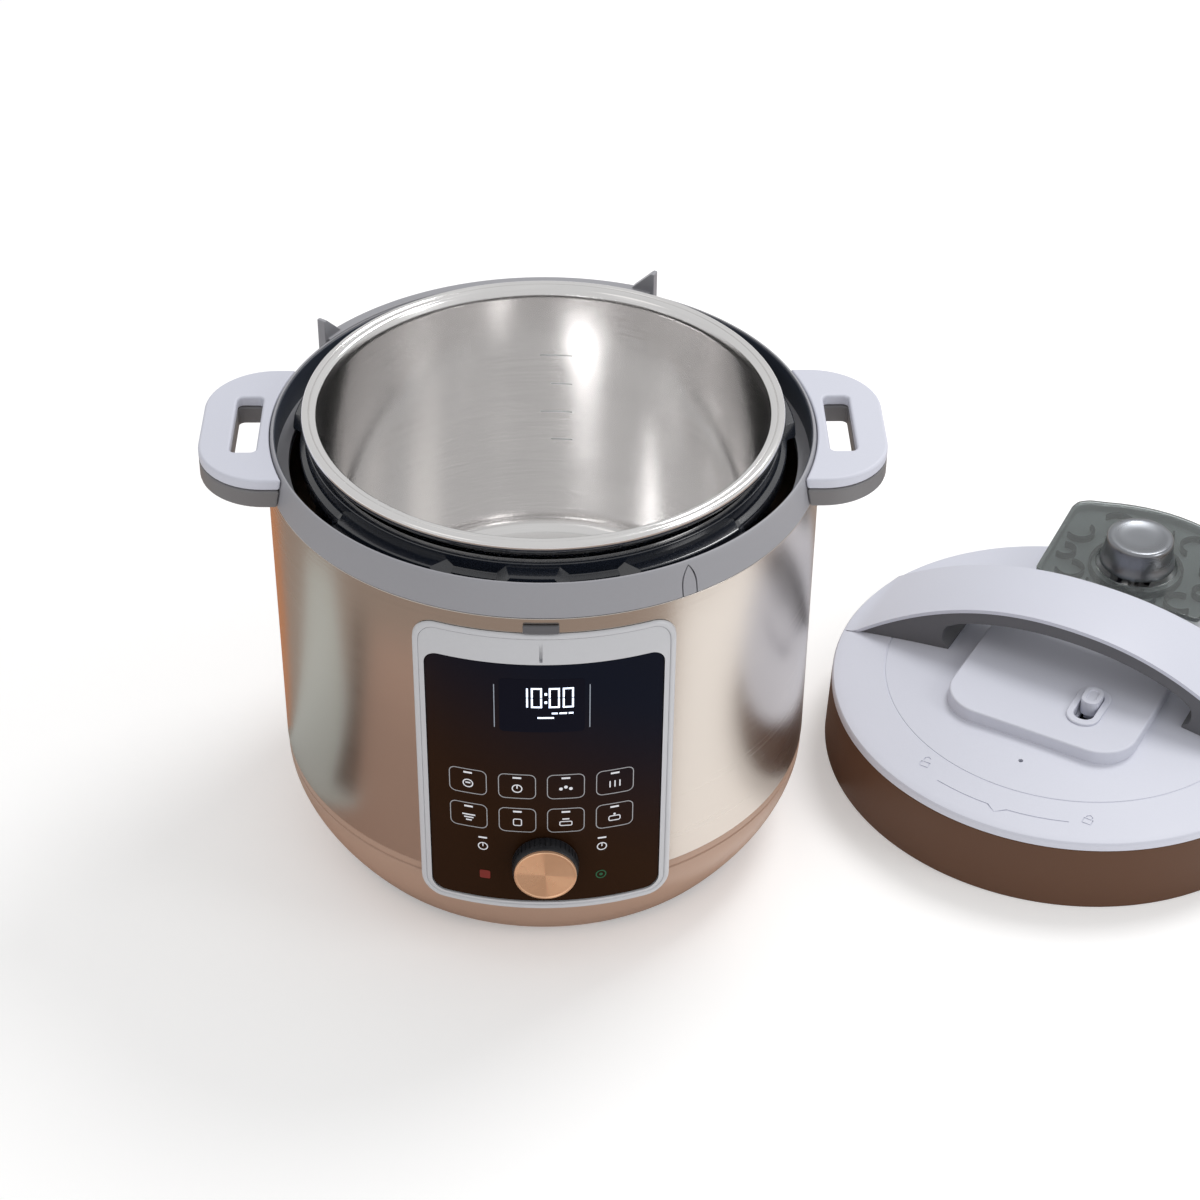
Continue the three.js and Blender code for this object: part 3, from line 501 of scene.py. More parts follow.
rim = softened([(ledge["inner"], collar["under"]), (ledge["r"], collar["under"], 0.6),
                (ledge["r"], ledge["top"], 1.6), (ledge["inner"], ledge["top"], 0.8)])
finishPiece("rear_ledge", spun(rim, 44, ledge["start"], ledge["end"]), "base", "grey_plastic",
            look="ledge_grey_and_collar_shade")
for direction, outer, word in [(ledge["end"], 1, "left"), (ledge["start"], -1, "right")]:
    outline = [(outer * fin["tip"], 224), (outer * fin["tip"], fin["top"]), (0, fin["top"]),
               (-outer * fin["base"], ledge["top"]), (-outer * fin["base"], 224)]
    ramp = moved(uprightCut(outline, -fin["thick"] / 2, fin["thick"] / 2),
                 shift(0, -fin["r"], 0), turn(direction))
    finishPiece(f"ledge_fin_{word}", ramp, "base", "grey_plastic", bevel=0.5,
                look="ledge_grey_and_collar_shade")

grip = {"inner": 100, "reach": 170.2, "half": 50, "corner": 34, "top": 234, "seam": 228,
        "bottom": 217.9, "gap": 0.3}
slot = {"x": 147.8, "width": 13, "length": 49, "corner": 3}


def makeGrip(side, low, high):
    shape = slab((grip["inner"], -grip["half"], low), (grip["reach"], grip["half"], high))
    far = [edge for edge in shape.edges
           if min(vert.co.x for vert in edge.verts) > grip["reach"] - 5
           and abs(edge.verts[0].co.z - edge.verts[1].co.z) > 1]
    roundEdges(shape, far, grip["corner"], 16)
    hole = slab((slot["x"] - slot["width"] / 2, -slot["length"] / 2, 200),
                (slot["x"] + slot["width"] / 2, slot["length"] / 2, 250), slot["corner"],
                segments=5)
    inside = spun([(0, 205), (138.95, 205), (138.95, 217.9), (138.2, 222.3), (136, 234),
                   (136, 245), (0, 245)], 180)
    return moved(carved(shape, hole, inside), turn(180 if side < 0 else 0))


for side, word in [(-1, "left"), (1, "right")]:
    finishPiece(f"{word}_grip_upper", makeGrip(side, grip["seam"], grip["top"]), "base",
                "grey_plastic", [f"{word}_handle_top"], bevel=1.5, segments=4)
    lower = makeGrip(side, grip["bottom"], grip["seam"] - grip["gap"])
    finishPiece(f"{word}_grip_lower", lower, "base", "taupe_plastic", [f"{word}_handle_bottom"],
                bevel=1.2, segments=3, look="grip_shell")
print("outer body made")

bezel = {"half": 62, "bottom": 37.5, "top": 209, "r": 142.8, "corner": 11, "back": 138.9,
         "rim": 2.8, "recess": 0.55, "bend": 194, "lean": 3.0}
window = {"half": 56.5, "bottom": 42, "top": 193, "r": 141.6, "back": 139.2, "corner": 7,
          "gap": 0.3}


def makeBezel():
    outer = slab((-bezel["half"], -bezel["r"], bezel["bottom"]),
                 (bezel["half"], -bezel["back"], bezel["top"]), bezel["corner"], along=1)
    gap, rim = window["gap"], bezel["rim"]
    hole = slab((-window["half"] - gap, -160, window["bottom"] - gap),
                (window["half"] + gap, -120, window["top"] + gap), window["corner"], along=1)
    notch = slab((-2.4, -160, 194.4), (-0.8, -bezel["back"] - 1.2, 206.2), 0.7, along=1)
    rimStep = slab((-bezel["half"] + rim, -160, bezel["bottom"] + rim),
                   (bezel["half"] - rim, -bezel["r"] + bezel["recess"], bezel["top"] - rim),
                   8.4, along=1)
    frameShape = carved(outer, hole, rimStep)
    front = [edge for edge in frameShape.edges
             if all(abs(vert.co.y + bezel["r"]) < 1e-3 for vert in edge.verts)
             and edge.calc_face_angle(0) > 0.5]
    roundEdges(frameShape, front, 1.1, 4)
    bm = sliced(frameShape, 2, bezel["bend"], bezel["top"] - 2, 4)
    for vert in bm.verts:
        # The top leans back towards the body.
        if vert.co.y < -bezel["back"] - 1 and vert.co.z > bezel["bend"]:
            share = (vert.co.z - bezel["bend"]) / (bezel["top"] - bezel["bend"])
            vert.co.y += share * bezel["lean"]
    return wrapped(carved(bm, notch), 4)


finishPiece("panel_bezel", makeBezel(), "base", "bezel_plastic", ["control_bezel"], angle=45,
            evened=True)
glass = slab((-window["half"], -window["r"], window["bottom"]),
             (window["half"], -window["back"], window["top"]), window["corner"], along=1)
finishPiece("panel_window", wrapped(glass, 2.5), "base", "panel_glass", ["control_fascia"],
            bevel=0.35, angle=45)
finishPiece("collar_tab", bar(-10, 7, 210, 214.2, 140.4, 138.9, 0.6), "base", "dark_plastic",
            bevel=0.3)

ink = {"front": 141.76, "back": 141.63, "line": 0.42}
sevenBars = {"1": "bc", "0": "abcdef"}
screen = {"z": 167, "height": 12, "digit": 5.2, "stroke": 0.85}
pane = {"left": -21.5, "right": 19, "bottom": 152, "top": 184, "front": 141.68, "back": 141.61}


def mark(x0, x1, z0, z1, corner=0.0):
    # A printed bar, a hair in front of the window.
    return bar(x0, x1, z0, z1, ink["front"], ink["back"], corner)


def markOutline(x0, x1, z0, z1, corner, line):
    return outlineBar(x0, x1, z0, z1, ink["front"], ink["back"], corner, line)


def printPiece(name, marks, look):
    finishPiece(name, gathered(marks), "base", "panel_glass", look=look)


def digitBars(character, x, z, width, height, stroke):
    # The lit bars of one seven-bar digit, with its lower left corner at x, z.
    middle = z + height / 2
    places = {"a": (x, x + width, z + height - stroke, z + height),
              "d": (x, x + width, z, z + stroke),
              "b": (x + width - stroke, x + width, middle + 0.3, z + height - 0.3),
              "c": (x + width - stroke, x + width, z + 0.3, middle - 0.3),
              "e": (x, x + stroke, z + 0.3, middle - 0.3),
              "f": (x, x + stroke, middle + 0.3, z + height - 0.3)}
    return [mark(*places[letter]) for letter in sevenBars[character]]


finishPiece("display_pane", bar(*pane.values(), 2), "base", "panel_glass", look="display_glass")
lit = []
for offset, character in [(-13, "1"), (-6.4, "0"), (2.0, "0"), (8.6, "0")]:
    lit += digitBars(character, offset, screen["z"], screen["digit"], screen["height"],
                     screen["stroke"])
for z in (169.6, 174.6):
    lit.append(mark(0.0, 1.2, z, z + 1.4))
for x0, x1, z in [(3.4, 6.2, 163.6), (7, 10.6, 163.6), (11.4, 13.6, 163.6), (-3.4, 4.4, 160.9)]:
    lit.append(mark(x0, x1, z - 0.45, z + 0.45))
printPiece("display_digits", lit, "lit_digits")
printPiece("display_lines", [mark(x, x + 0.45, 154, 180) for x in (-24.1, 21.2)], "print_line")

keys = {"columns": (-37.3, -13.5, 10.1, 33.9), "rows": (117.5, 95.8), "width": 18.3,
        "height": 15.5, "corner": 3.2}


def panelDisc(x, z, radius, line=0.0):
    # A round mark, or a ring when a line width is given.
    edges = (x - radius, x + radius, z - radius, z + radius, radius * 0.98)
    return markOutline(*edges, line) if line else mark(*edges)


def panelBars(x, z, widths, pitch=1.7, thick=0.75):
    # Short stacked bars, centred on x.
    return [mark(x - width / 2, x + width / 2, z - row * pitch - thick / 2,
                 z - row * pitch + thick / 2) for row, width in enumerate(widths)]


def keyIcon(index, x, z):
    # A plain picture on each key: ring, drop bars, bowl, steam and so on.
    if index == 0:
        return [panelDisc(x, z, 2.6, 0.55), *panelBars(x, z + 0.4, [2.4])]
    if index == 1:
        return [panelDisc(x, z, 2.6, 0.55), mark(x - 0.3, x + 0.3, z, z + 1.9)]
    if index == 2:
        return [panelDisc(x + aside, z + lift, 0.9)
                for aside, lift in ((-2.4, 0), (0, 1.1), (2.4, 0))]
    if index == 3:
        return [mark(x + aside - 0.3, x + aside + 0.3, z - 2, z + 2, 0.2)
                for aside in (-2.4, 0, 2.4)]
    if index == 4:
        return panelBars(x, z + 1.4, [6.4, 4.6, 2.8])
    if index == 5:
        return [markOutline(x - 2.2, x + 2.2, z - 2.4, z + 2.2, 1.1, 0.5)]
    if index == 6:
        return [markOutline(x - 3.2, x + 3.2, z - 2.2, z + 0.8, 0.9, 0.5),
                *panelBars(x, z + 2.2, [3.4])]
    return [markOutline(x - 3, x + 3, z - 2.2, z + 1.2, 1.2, 0.5), panelDisc(x, z + 2.1, 0.6)]


outlines, icons = [], []
for index in range(8):
    x, z = keys["columns"][index % 4], keys["rows"][index // 4]
    halfWidth, halfHeight = keys["width"] / 2, keys["height"] / 2
    outlines.append(markOutline(x - halfWidth, x + halfWidth, z - halfHeight, z + halfHeight,
                                keys["corner"], ink["line"]))
    icons.append(mark(x - 2.1, x + 2.1, z + 4.9, z + 5.9))
    icons += keyIcon(index, x, z - 1.4)
for x, z in [(-30.7, 76.4), (27.9, 76.4)]:  # a clock on each side above the dial
    icons.append(mark(x - 2.1, x + 2.1, z + 5.2, z + 6.1))
    icons += [panelDisc(x, z, 2.5, 0.5), mark(x - 0.25, x + 0.25, z, z + 1.8)]
printPiece("key_outlines", outlines, "print_pale")
printPiece("key_icons", icons, "print_white")
printPiece("stop_mark", [mark(-32.6, -27.4, 55.1, 60.3, 0.8)], "print_red")
printPiece("start_mark", [panelDisc(27.6, 57.7, 2.7, 0.6), panelDisc(27.6, 57.7, 0.9)],
           "print_green")

dial = {"z": 68.8, "r": 16.5, "back": 142.2, "front": 150.6, "shoulder": 147.2, "capR": 15.4,
        "capFront": 152.4, "grooves": 40}
towardsFront = shift(0, 0, dial["z"]) @ turn(90, "X")
barrel = softened([(0, dial["back"]), (dial["r"], dial["back"], 0.5),
                   (dial["r"], dial["shoulder"], 0.8), (dial["capR"] + 0.5, dial["front"], 0.5),
                   (0, dial["front"])])
grooves = [moved(slab((dial["r"] - 0.35, -0.35, dial["back"] + 0.8), (dial["r"] + 1, 0.35, 148)),
                 turn(index * 360 / dial["grooves"])) for index in range(dial["grooves"])]
finishPiece("dial_barrel", moved(carved(spun(barrel, 120), gathered(grooves)), towardsFront),
            "dial", "black_plastic", ["dial_body"])
face = softened([(0, dial["front"] + 0.05), (dial["capR"], dial["front"] + 0.05),
                 (dial["capR"], dial["capFront"] - 0.1, 0.5),
                 (dial["capR"] - 0.9, dial["capFront"], 0.3),
                 (dial["capR"] - 1.3, dial["capFront"] - 0.45, 0.2), (0, dial["capFront"] - 0.6)])
finishPiece("dial_face", moved(spun(face, 96), towardsFront), "dial", "copper_face", ["dial_cap"],
            angle=30)
print("control panel made")

pot = {"rOuter": 112.4, "inner": 111.2, "floor": 88.6, "top": 246, "rimR": 120.5, "curve": 14}
kettle = {"r": 115.6, "wall": 1.6, "bottom": 74, "lugR": 126.3, "lugBottom": 225, "lugTop": 230,
          "flangeR": 121.5, "inner": 114, "neckR": 118.3, "neckTop": 234}
lugs = {"count": 5, "first": -2, "gap": 34, "pitch": 72, "taper": 3.6}


def slopedLug(profile, start, end, taper):
    # A lug whose ends slope back as they reach outwards and upwards.
    lug = spun(profile, 20, start, end)
    middle, half = (start + end) / 2, (end - start) / 2
    for vert in lug.verts:
        own = math.degrees(math.atan2(vert.co.x, -vert.co.y))
        away = (own - middle + 180) % 360 - 180
        reach = max(vert.co.xy.length - kettle["flangeR"], 0) / 5
        rise = max(vert.co.z - kettle["lugBottom"], 0) / 5
        pull = 1 - taper * (reach + rise * 0.8) / half
        vert.co = onCircle(middle + away * pull, vert.co.xy.length, vert.co.z)
    return lug


def makeKettle():
    body = softened([
        (16, kettle["bottom"]), (kettle["r"], kettle["bottom"], 6), (kettle["r"], 214, 1.5),
        (kettle["flangeR"], 218, 1.5), (kettle["flangeR"], 226, 0.6),
        (kettle["neckR"], 227.4, 0.6), (kettle["neckR"], kettle["neckTop"], 0.9),
        (kettle["inner"], kettle["neckTop"], 0.9), (kettle["r"] - kettle["wall"], 222, 1),
        (kettle["r"] - kettle["wall"], 81, 4),
        (105, kettle["bottom"] + kettle["wall"], 3), (16, kettle["bottom"] + kettle["wall"])])
    parts = [spun(body)]
    tooth = softened([(kettle["neckR"] - 1, kettle["lugBottom"]),
                      (kettle["lugR"], kettle["lugBottom"], 0.7),
                      (kettle["lugR"], kettle["lugTop"], 1.1),
                      (kettle["neckR"] - 1, kettle["lugTop"] + 0.6)])
    for index in range(lugs["count"]):
        start = lugs["first"] + lugs["gap"] / 2 + index * lugs["pitch"]
        parts.append(slopedLug(tooth, start, start + lugs["pitch"] - lugs["gap"], lugs["taper"]))
    bump = softened([(kettle["neckR"] - 1, 224.6), (126, 224.6, 1), (125.4, 231, 1.4),
                     (kettle["neckR"] - 1, 232.4)])
    parts.append(slopedLug(bump, -12.5, 7.5, 3.2))
    return gathered(parts)


finishPiece("heating_kettle", makeKettle(), "base", "black_enamel", ["outer_pot"], bevel=0.9,
            segments=3, angle=40)


def makePot():
    return spun(softened([
        (0, pot["floor"]), (pot["rOuter"], pot["floor"], pot["curve"]),
        (pot["rOuter"], 238.5, 1.6), (119.2, 240.4, 1.2), (pot["rimR"], 243, 1.6),
        (119.4, pot["top"], 1.3), (116.6, pot["top"], 0.5), (116.2, 244.9, 0.2),
        (115.7, 245.7, 0.4), (112.9, 245.2, 1.2), (pot["inner"], 241, 1.6),
        (pot["inner"], pot["floor"] + 1.4, pot["curve"] - 1), (0, pot["floor"] + 1.4),
    ], 8), 200)


finishPiece("cooking_pot", makePot(), "pot", "polished_steel", ["inner_pot"], angle=50)
marks = []
for level, height in enumerate((150, 168, 186, 204)):
    line = [(pot["inner"] + 0.1, height), (pot["inner"] - 0.18, height),
            (pot["inner"] - 0.18, height + 0.6), (pot["inner"] + 0.1, height + 0.6)]
    marks.append(spun(line, 8, 172, 172 + (9 if level % 2 else 6)))
finishPiece("level_lines", gathered(marks), "pot", "polished_steel", look="aluminium")

plate = softened([(15, 76.3, 0.5), (96, 76.3, 1), (96, 88.3, 2.5), (92, 88.3), (60, 88.3),
                  (59.4, 87.8), (58.8, 88.3), (30, 88.3), (29.4, 87.8), (28.8, 88.3),
                  (15, 88.3, 0.6)])
finishPiece("heating_disc", spun(plate), "base", "aluminium", ["heating_plate"])
button = softened([(0, 84), (10, 84, 0.6), (10, 80.3), (12, 80.3, 0.5), (12, 88.3, 1), (0, 88.3)])
finishPiece("sensor_button", spun(button, small), "sensor", "aluminium", ["temperature_sensor"])

cup = {"half": 26, "front": 147, "rear": 172, "bottom": 112, "top": 172, "wall": 2}


def makeCup():
    outer = slab((-cup["half"], cup["front"], cup["bottom"]),
                 (cup["half"], cup["rear"], cup["top"]), 8)
    wall = cup["wall"]
    inner = slab((-cup["half"] + wall, cup["front"] + wall, cup["bottom"] + wall),
                 (cup["half"] - wall, cup["rear"] - wall, cup["top"] + 9), 6)
    rim = carved(slab((-cup["half"] - 0.8, cup["front"] - 0.3, cup["top"] - 2.2),
                      (cup["half"] + 0.8, cup["rear"], cup["top"]), 8.4),
                 slab((-cup["half"] + 1, cup["front"] + 1, 160),
                      (cup["half"] - 1, cup["rear"] - 1, 190), 6.4))
    tongue = slab((-16.8, 141.4, 128), (16.8, 143.8, 166))
    neck = slab((-13.4, 143.7, 128), (13.4, cup["front"] + 0.2, 166))
    return gathered([carved(outer, inner), rim, tongue, neck])


finishPiece("water_cup", makeCup(), "collector", "smoked_plastic", ["condensation_collector"],
            bevel=0.5, look="clear_plastic")
print("pots and collector made")

# The lid lies where the frame has it, turned as its lever's pivot is.
low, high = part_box("lid_skirt")
pivot = next(joint for joint in frame["joints"] if joint["name"] == "lever_rock")["axis"]
centre = (low + high) / 2
lidPlace = (Matrix.Translation((centre.x, centre.y, low.z))
            @ Matrix.Rotation(math.atan2(pivot[1], pivot[0]), 4, "Z"))


def lidPiece(name, bm, body, finish, nodes=(), **style):
    return finishPiece(name, bm, body, finish, nodes, place=lidPlace, **style)


skirt = {"rBottom": 132.6, "rTop": 131.2, "inner": 129, "height": 38.2}
cover = {"r": 131, "shoulder": 128, "edge": 43.4, "centre": 51, "ring": 102}
dome = {"r": 128.6, "wall": 1.2, "bottom": 0.9, "top": 38.5, "flatR": 122}
tabs = {"inner": 122.6, "bottom": 1.5, "top": 4.9, "width": 26, "first": -32}
vent = {"x": 3.1, "y": -79.6, "r": 1.3}
floatPin = {"x": 70, "y": 60}


def coverHeight(radius):
    return cover["centre"] - (cover["centre"] - cover["edge"]) * (radius / cover["shoulder"]) ** 2


sides = softened([(skirt["rBottom"], 0, 0.8), (skirt["rTop"], skirt["height"], 0.5),
                  (skirt["inner"], skirt["height"]), (skirt["inner"], 0, 0.6)])
mould = moved(slab((-0.12, -134, 1), (0.12, -skirt["rBottom"] + 0.1, 37)), turn(2.3))
lidPiece("skirt_band", carved(spun(sides, 180), mould), "lid", "taupe_plastic", ["lid_skirt"])


def makeCover():
    # A shallow bowl upside down, with a soft shoulder and an engraved ring.
    groove = cover["ring"]
    outside = [(cover["r"], 38.4), (cover["r"], 41.4), (cover["r"] - 0.3, 42.3),
               (cover["r"] - 0.9, 42.9), (cover["r"] - 1.9, 43.2)]
    outside += [(share * cover["shoulder"], coverHeight(share * cover["shoulder"]))
                for share in (0.98, 0.94, 0.88)]
    outside += [(groove + 0.55, coverHeight(groove)), (groove + 0.3, coverHeight(groove) - 0.4),
                (groove - 0.3, coverHeight(groove) - 0.4), (groove - 0.55, coverHeight(groove))]
    outside += [(radius, coverHeight(radius)) for radius in (94, 82, 68, 52, 34, 16, 0)]
    inside = [(radius, coverHeight(radius) - 2.5) for radius in (0, 60, 100, 124)]
    pocket = slab((17, -41.5, 30), (25, -16.5, 60), 2)
    hole = moved(rod(vent["r"], 30, 60, 24), shift(vent["x"], vent["y"]))
    pinHole = moved(rod(3.8, 30, 60), shift(floatPin["x"], floatPin["y"]))
    mouth = slab((-13, 70, 30), (13, 112, 60))
    leverRoom = slab((-13, 30, 30), (13, 72, 47.4))
    return carved(spun([*inside, (skirt["inner"], 38.4), *outside], 200), pocket, hole, pinHole,
                  mouth, leverRoom)


def groovePath(points, width=0.75, depth=0.35):
    # A shallow cut along a few points on the lid's cover.
    cuts = []
    for (x0, y0), (x1, y1) in zip(points, points[1:]):
        run = Vector((x1 - x0, y1 - y0, 0))
        height = coverHeight(math.hypot((x0 + x1) / 2, (y0 + y1) / 2))
        piece = slab((-run.length / 2 - width / 3, -width / 2, -depth),
                     (run.length / 2 + width / 3, width / 2, 3))
        cuts.append(moved(piece, Matrix.Translation(((x0 + x1) / 2, (y0 + y1) / 2, height))
                          @ Matrix.Rotation(math.atan2(run.y, run.x), 4, "Z")))
    return cuts


def lidPoint(degrees, radius):
    return onCircle(degrees, radius).xy


def makeMarks():
    # The turning track with its notch, and an open and a shut padlock at its ends.
    track = 116.8
    cuts = groovePath([lidPoint(angle, track) for angle in (-15, -11, -7, -3.5, 0)])
    cuts += groovePath([lidPoint(0, track), lidPoint(2.3, track + 4), lidPoint(5, track)])
    cuts += groovePath([lidPoint(angle, track) for angle in (5, 9, 13, 17, 21)])
    for direction, radius, lift in [(-21.7, 112, 1.2), (26, 115, 0)]:
        place = lidPoint(direction, radius)
        outline = [(-2.4, -2.2), (2.4, -2.2), (2.4, 1.2), (-2.4, 1.2), (-2.4, -2.2)]
        shackle = [(-1.5, 1.2), (-1.5, 3 + lift), (0, 4 + lift), (1.5, 3 + lift)]
        if not lift:
            shackle.append((1.5, 1.2))
        for line in (outline, shackle):
            cuts += groovePath([(place.x + x, place.y + y) for x, y in line], 0.6)
    return gathered(cuts)


lidPiece("cover_shell", carved(makeCover(), makeMarks(), crossing=True), "lid",
         "grey_plastic", ["lid_cover"], angle=28)


def makeDome():
    wall = dome["wall"]
    bowl = softened([(0, dome["top"]), (dome["flatR"], dome["top"], 2), (dome["r"], 35.1, 3),
                     (dome["r"], dome["bottom"], 0.4), (dome["r"] - wall, dome["bottom"], 0.4),
                     (dome["r"] - wall, 34.2, 3), (dome["flatR"] - 0.5, dome["top"] - wall, 2),
                     (0, dome["top"] - wall)])
    holes = [moved(rod(4, 20, 60), shift(x, y))
             for x, y in [(0, 100), (floatPin["x"], floatPin["y"])]]
    parts = [carved(spun(bowl, 180), *holes)]
    lip = softened([(tabs["inner"], tabs["bottom"], 0.6), (dome["r"] - 0.6, tabs["bottom"]),
                    (dome["r"] - 0.6, tabs["top"]), (tabs["inner"], tabs["top"], 0.6)])
    for index in range(lugs["count"]):
        middle = tabs["first"] + index * lugs["pitch"]
        parts.append(spun(lip, 12, middle - tabs["width"] / 2, middle + tabs["width"] / 2))
    return gathered(parts)


lidPiece("steel_dome", makeDome(), "lid", "polished_steel", ["lid_dome"])
seal = softened([(113, 28.4, 0.5), (115, 26.8, 0.5), (124.2, 26.8, 0.8), (125.6, 29.8, 0.8),
                 (125.6, 33.8, 0.8), (123.2, 35.8, 0.8), (116, 35.8, 0.6), (113, 34.2, 0.6)])
lidPiece("seal_ring", spun(seal), "seal", "silicone", ["sealing_ring"])
rack = softened([(112.1, 29.5, 0.3), (112.1, 33.5, 0.3), (110.4, 33.5, 0.3), (110.4, 29.5, 0.3)])
lidPiece("seal_rack_wire", spun(rack), "seal_rack", "polished_steel", ["sealing_ring_rack"])

arch = {"top": 90, "rise": 48, "half": 127, "power": 2.2, "skin": 3.2, "depth": 11, "post": 73,
        "y": 12, "halfWidth": 22.5, "endHalf": 30, "r": 129.2}


def archHeight(x):
    return arch["top"] - arch["rise"] * (abs(x) / arch["half"]) ** arch["power"]


def archPlace(u, t):
    # A point of the handle's plan: u runs from tip to tip and t from its near to its far edge.
    width = arch["halfWidth"] + (arch["endHalf"] - arch["halfWidth"]) * abs(u) ** 2.2
    y = arch["y"] + t * width
    edge = math.sqrt(arch["r"] ** 2 - y ** 2)
    x = u * (arch["half"] + (edge - arch["half"]) * abs(u) ** 6)
    return x, y


def archLayer(above, below):
    # A bent plate under the handle's outer line; above and below give its two faces.
    bm = bmesh.new()
    bmesh.ops.create_grid(bm, x_segments=72, y_segments=10, size=1)
    whole = bmesh.ops.extrude_face_region(bm, geom=bm.faces[:])["geom"]
    lower = {part for part in whole if isinstance(part, bmesh.types.BMVert)}
    for vert in bm.verts:
        u, t = vert.co.x, vert.co.y
        x, y = archPlace(u, t)
        crown = 0.8 * (1 - t * t) - 0.8
        radius = math.hypot(x, y)
        height = below(x, radius) if vert in lower else above(x) + crown
        vert.co = (x, y, height)
    bmesh.ops.recalc_face_normals(bm, faces=bm.faces)
    return bm


def skinBottom(x, radius):
    return max(archHeight(x) - arch["skin"], coverHeight(radius) + 0.25)


def skinTop(x):
    return max(archHeight(x), coverHeight(abs(x)) + 1.2)


lidPiece("handle_skin", archLayer(skinTop, skinBottom), "lid", "grey_plastic", ["lid_handle"],
         bevel=0.9, segments=3, angle=50)


def makeGripUnder():
    # The darker lower half: a thin span in the middle and a post down to the cover at each end.
    steps = 36
    span = [-arch["half"] + 2 * arch["half"] * step / steps for step in range(steps + 1)]
    lift = arch["skin"] + 0.3
    upper = [(x, archHeight(x) - lift) for x in span]
    inner = [(x, archHeight(x) - arch["depth"]) for x in span if abs(x) < arch["post"] - 4]
    post = arch["post"]
    corner = [(post - 4.5, 34), (post - 4.5, 50.5), (post - 2.2, 52), (post - 0.6, 54), (post, 57),
              (post - 0.6, 61.5), (post - 2.4, 64.2)]
    lower = [(arch["half"], 34), *corner, *reversed(inner),
             *[(-x, z) for x, z in reversed(corner)], (-arch["half"], 34)]
    side = sliced(uprightCut([*upper, *lower], -1, 1), 1, -0.75, 0.9, 0.25)
    for vert in side.verts:
        x, y = archPlace(vert.co.x / arch["half"] * 0.996, vert.co.y * 0.965)
        vert.co.x, vert.co.y = x, y
    under = spun([(0, 20), (131.4, 20), (131.3, 41), *[(radius, coverHeight(radius) + 0.2)
                 for radius in (128, 110, 90, 60, 0)]], 120)
    return carved(side, under)


lidPiece("handle_underside", makeGripUnder(), "lid", "dark_plastic", ["lid_handle_underside"],
         bevel=0.7, segments=2, angle=45)

platform = {"half": 54, "front": -64, "rear": 32, "corner": 22, "bottom": 44, "top": 56}
pocket = {"left": 15.5, "right": 26.5, "front": -41.5, "rear": -16.5, "corner": 5}


def pocketCut(bottom):
    return slab((pocket["left"], pocket["front"], bottom),
                (pocket["right"], pocket["rear"], 60), pocket["corner"])


def makePlatform():
    raisedDeck = slab((-platform["half"], platform["front"], platform["bottom"]),
                      (platform["half"], platform["rear"], platform["top"]), platform["corner"],
                      segments=14)
    for vert in raisedDeck.verts:
        if vert.co.z > 50:  # the sides lean in a little
            vert.co.x *= 0.985
            vert.co.y = vert.co.y * 0.985 - 0.2
    return carved(raisedDeck, pocketCut(40))


lidPiece("lid_deck", makePlatform(), "lid", "grey_plastic", ["lid_platform"], bevel=1.1,
         segments=3, angle=45)
lidPiece("pocket_floor", slab((16, -41, 45.2), (26, -17, 45.9), 4.6), "lid", "dark_plastic",
         look="black_plastic")
pocketRim = carved(slab((11.7, -46.2, 55.6), (30.3, -11.8, 57.4), 9), pocketCut(50))
lidPiece("pocket_rim", pocketRim, "lid", "grey_plastic", bevel=0.75, segments=3)

button = carved(slab((15.9, -31.8, 52), (26.1, -16.9, 61), 4.8),
                slab((18.3, -29.2, 60.3), (23.7, -19.3, 63), 2.6))
foot = slab((18, -26.5, 44.4), (24, -20.5, 53))
lidPiece("slide_button", gathered([button, foot]), "slider", "grey_plastic",
         ["release_slider"], bevel=0.5, segments=3)

tray = {"front": 66, "rear": 157, "halfFront": 49, "halfRear": 53, "shoulder": 146, "corner": 11,
        "wall": 2.2, "lip": 53.5, "top": 59.5, "cover": 62.9, "standR": 124}
valve = {"y": 100, "knobR": 19, "knobBase": 21.5, "top": 82}


def trayOutline(inset):
    # Straight front and sides, rounded rear corners and a bowed back.
    front, rear = tray["front"] + inset, tray["rear"] - inset
    halfFront, halfRear = tray["halfFront"] - inset, tray["halfRear"] - inset
    shoulder = tray["shoulder"] - inset
    bow = [(halfRear - 9 - (halfRear - 9) * 2 * step / 12,
            shoulder + (rear - shoulder) * (1 - (1 - step / 6) ** 2)) for step in range(13)]
    corner = tray["corner"] - inset * 0.5
    right = [(halfRear, shoulder - corner, 2), (halfRear - 1.2, shoulder - 4.8, 2)]
    left = [(-x, y, soft) for x, y, soft in reversed(right)]
    return softened([(-halfFront, front, 4), (halfFront, front, 4), *right,
                     (bow[0][0] + 2.6, bow[0][1] + 0.1, 3), *bow[1:-1],
                     (bow[-1][0] - 2.6, bow[-1][1] + 0.1, 3), *left], 5)


def makeTray():
    upper = carved(raised(trayOutline(0), tray["lip"], tray["top"]),
                   raised(trayOutline(tray["wall"]), tray["lip"] + 2, tray["top"] + 5))
    stand = carved(raised(trayOutline(0.4), 43, tray["lip"] + 0.2),
                   rod(tray["standR"], 30, 70, 120), how="INTERSECT")
    return gathered([carved(part, slab((-11, 60, 30), (11, 111, 70)))
                     for part in (upper, stand)])


lidPiece("steam_tray_shell", makeTray(), "lid", "grey_plastic", ["steam_tray"], bevel=0.5,
         look="tray_plastic")


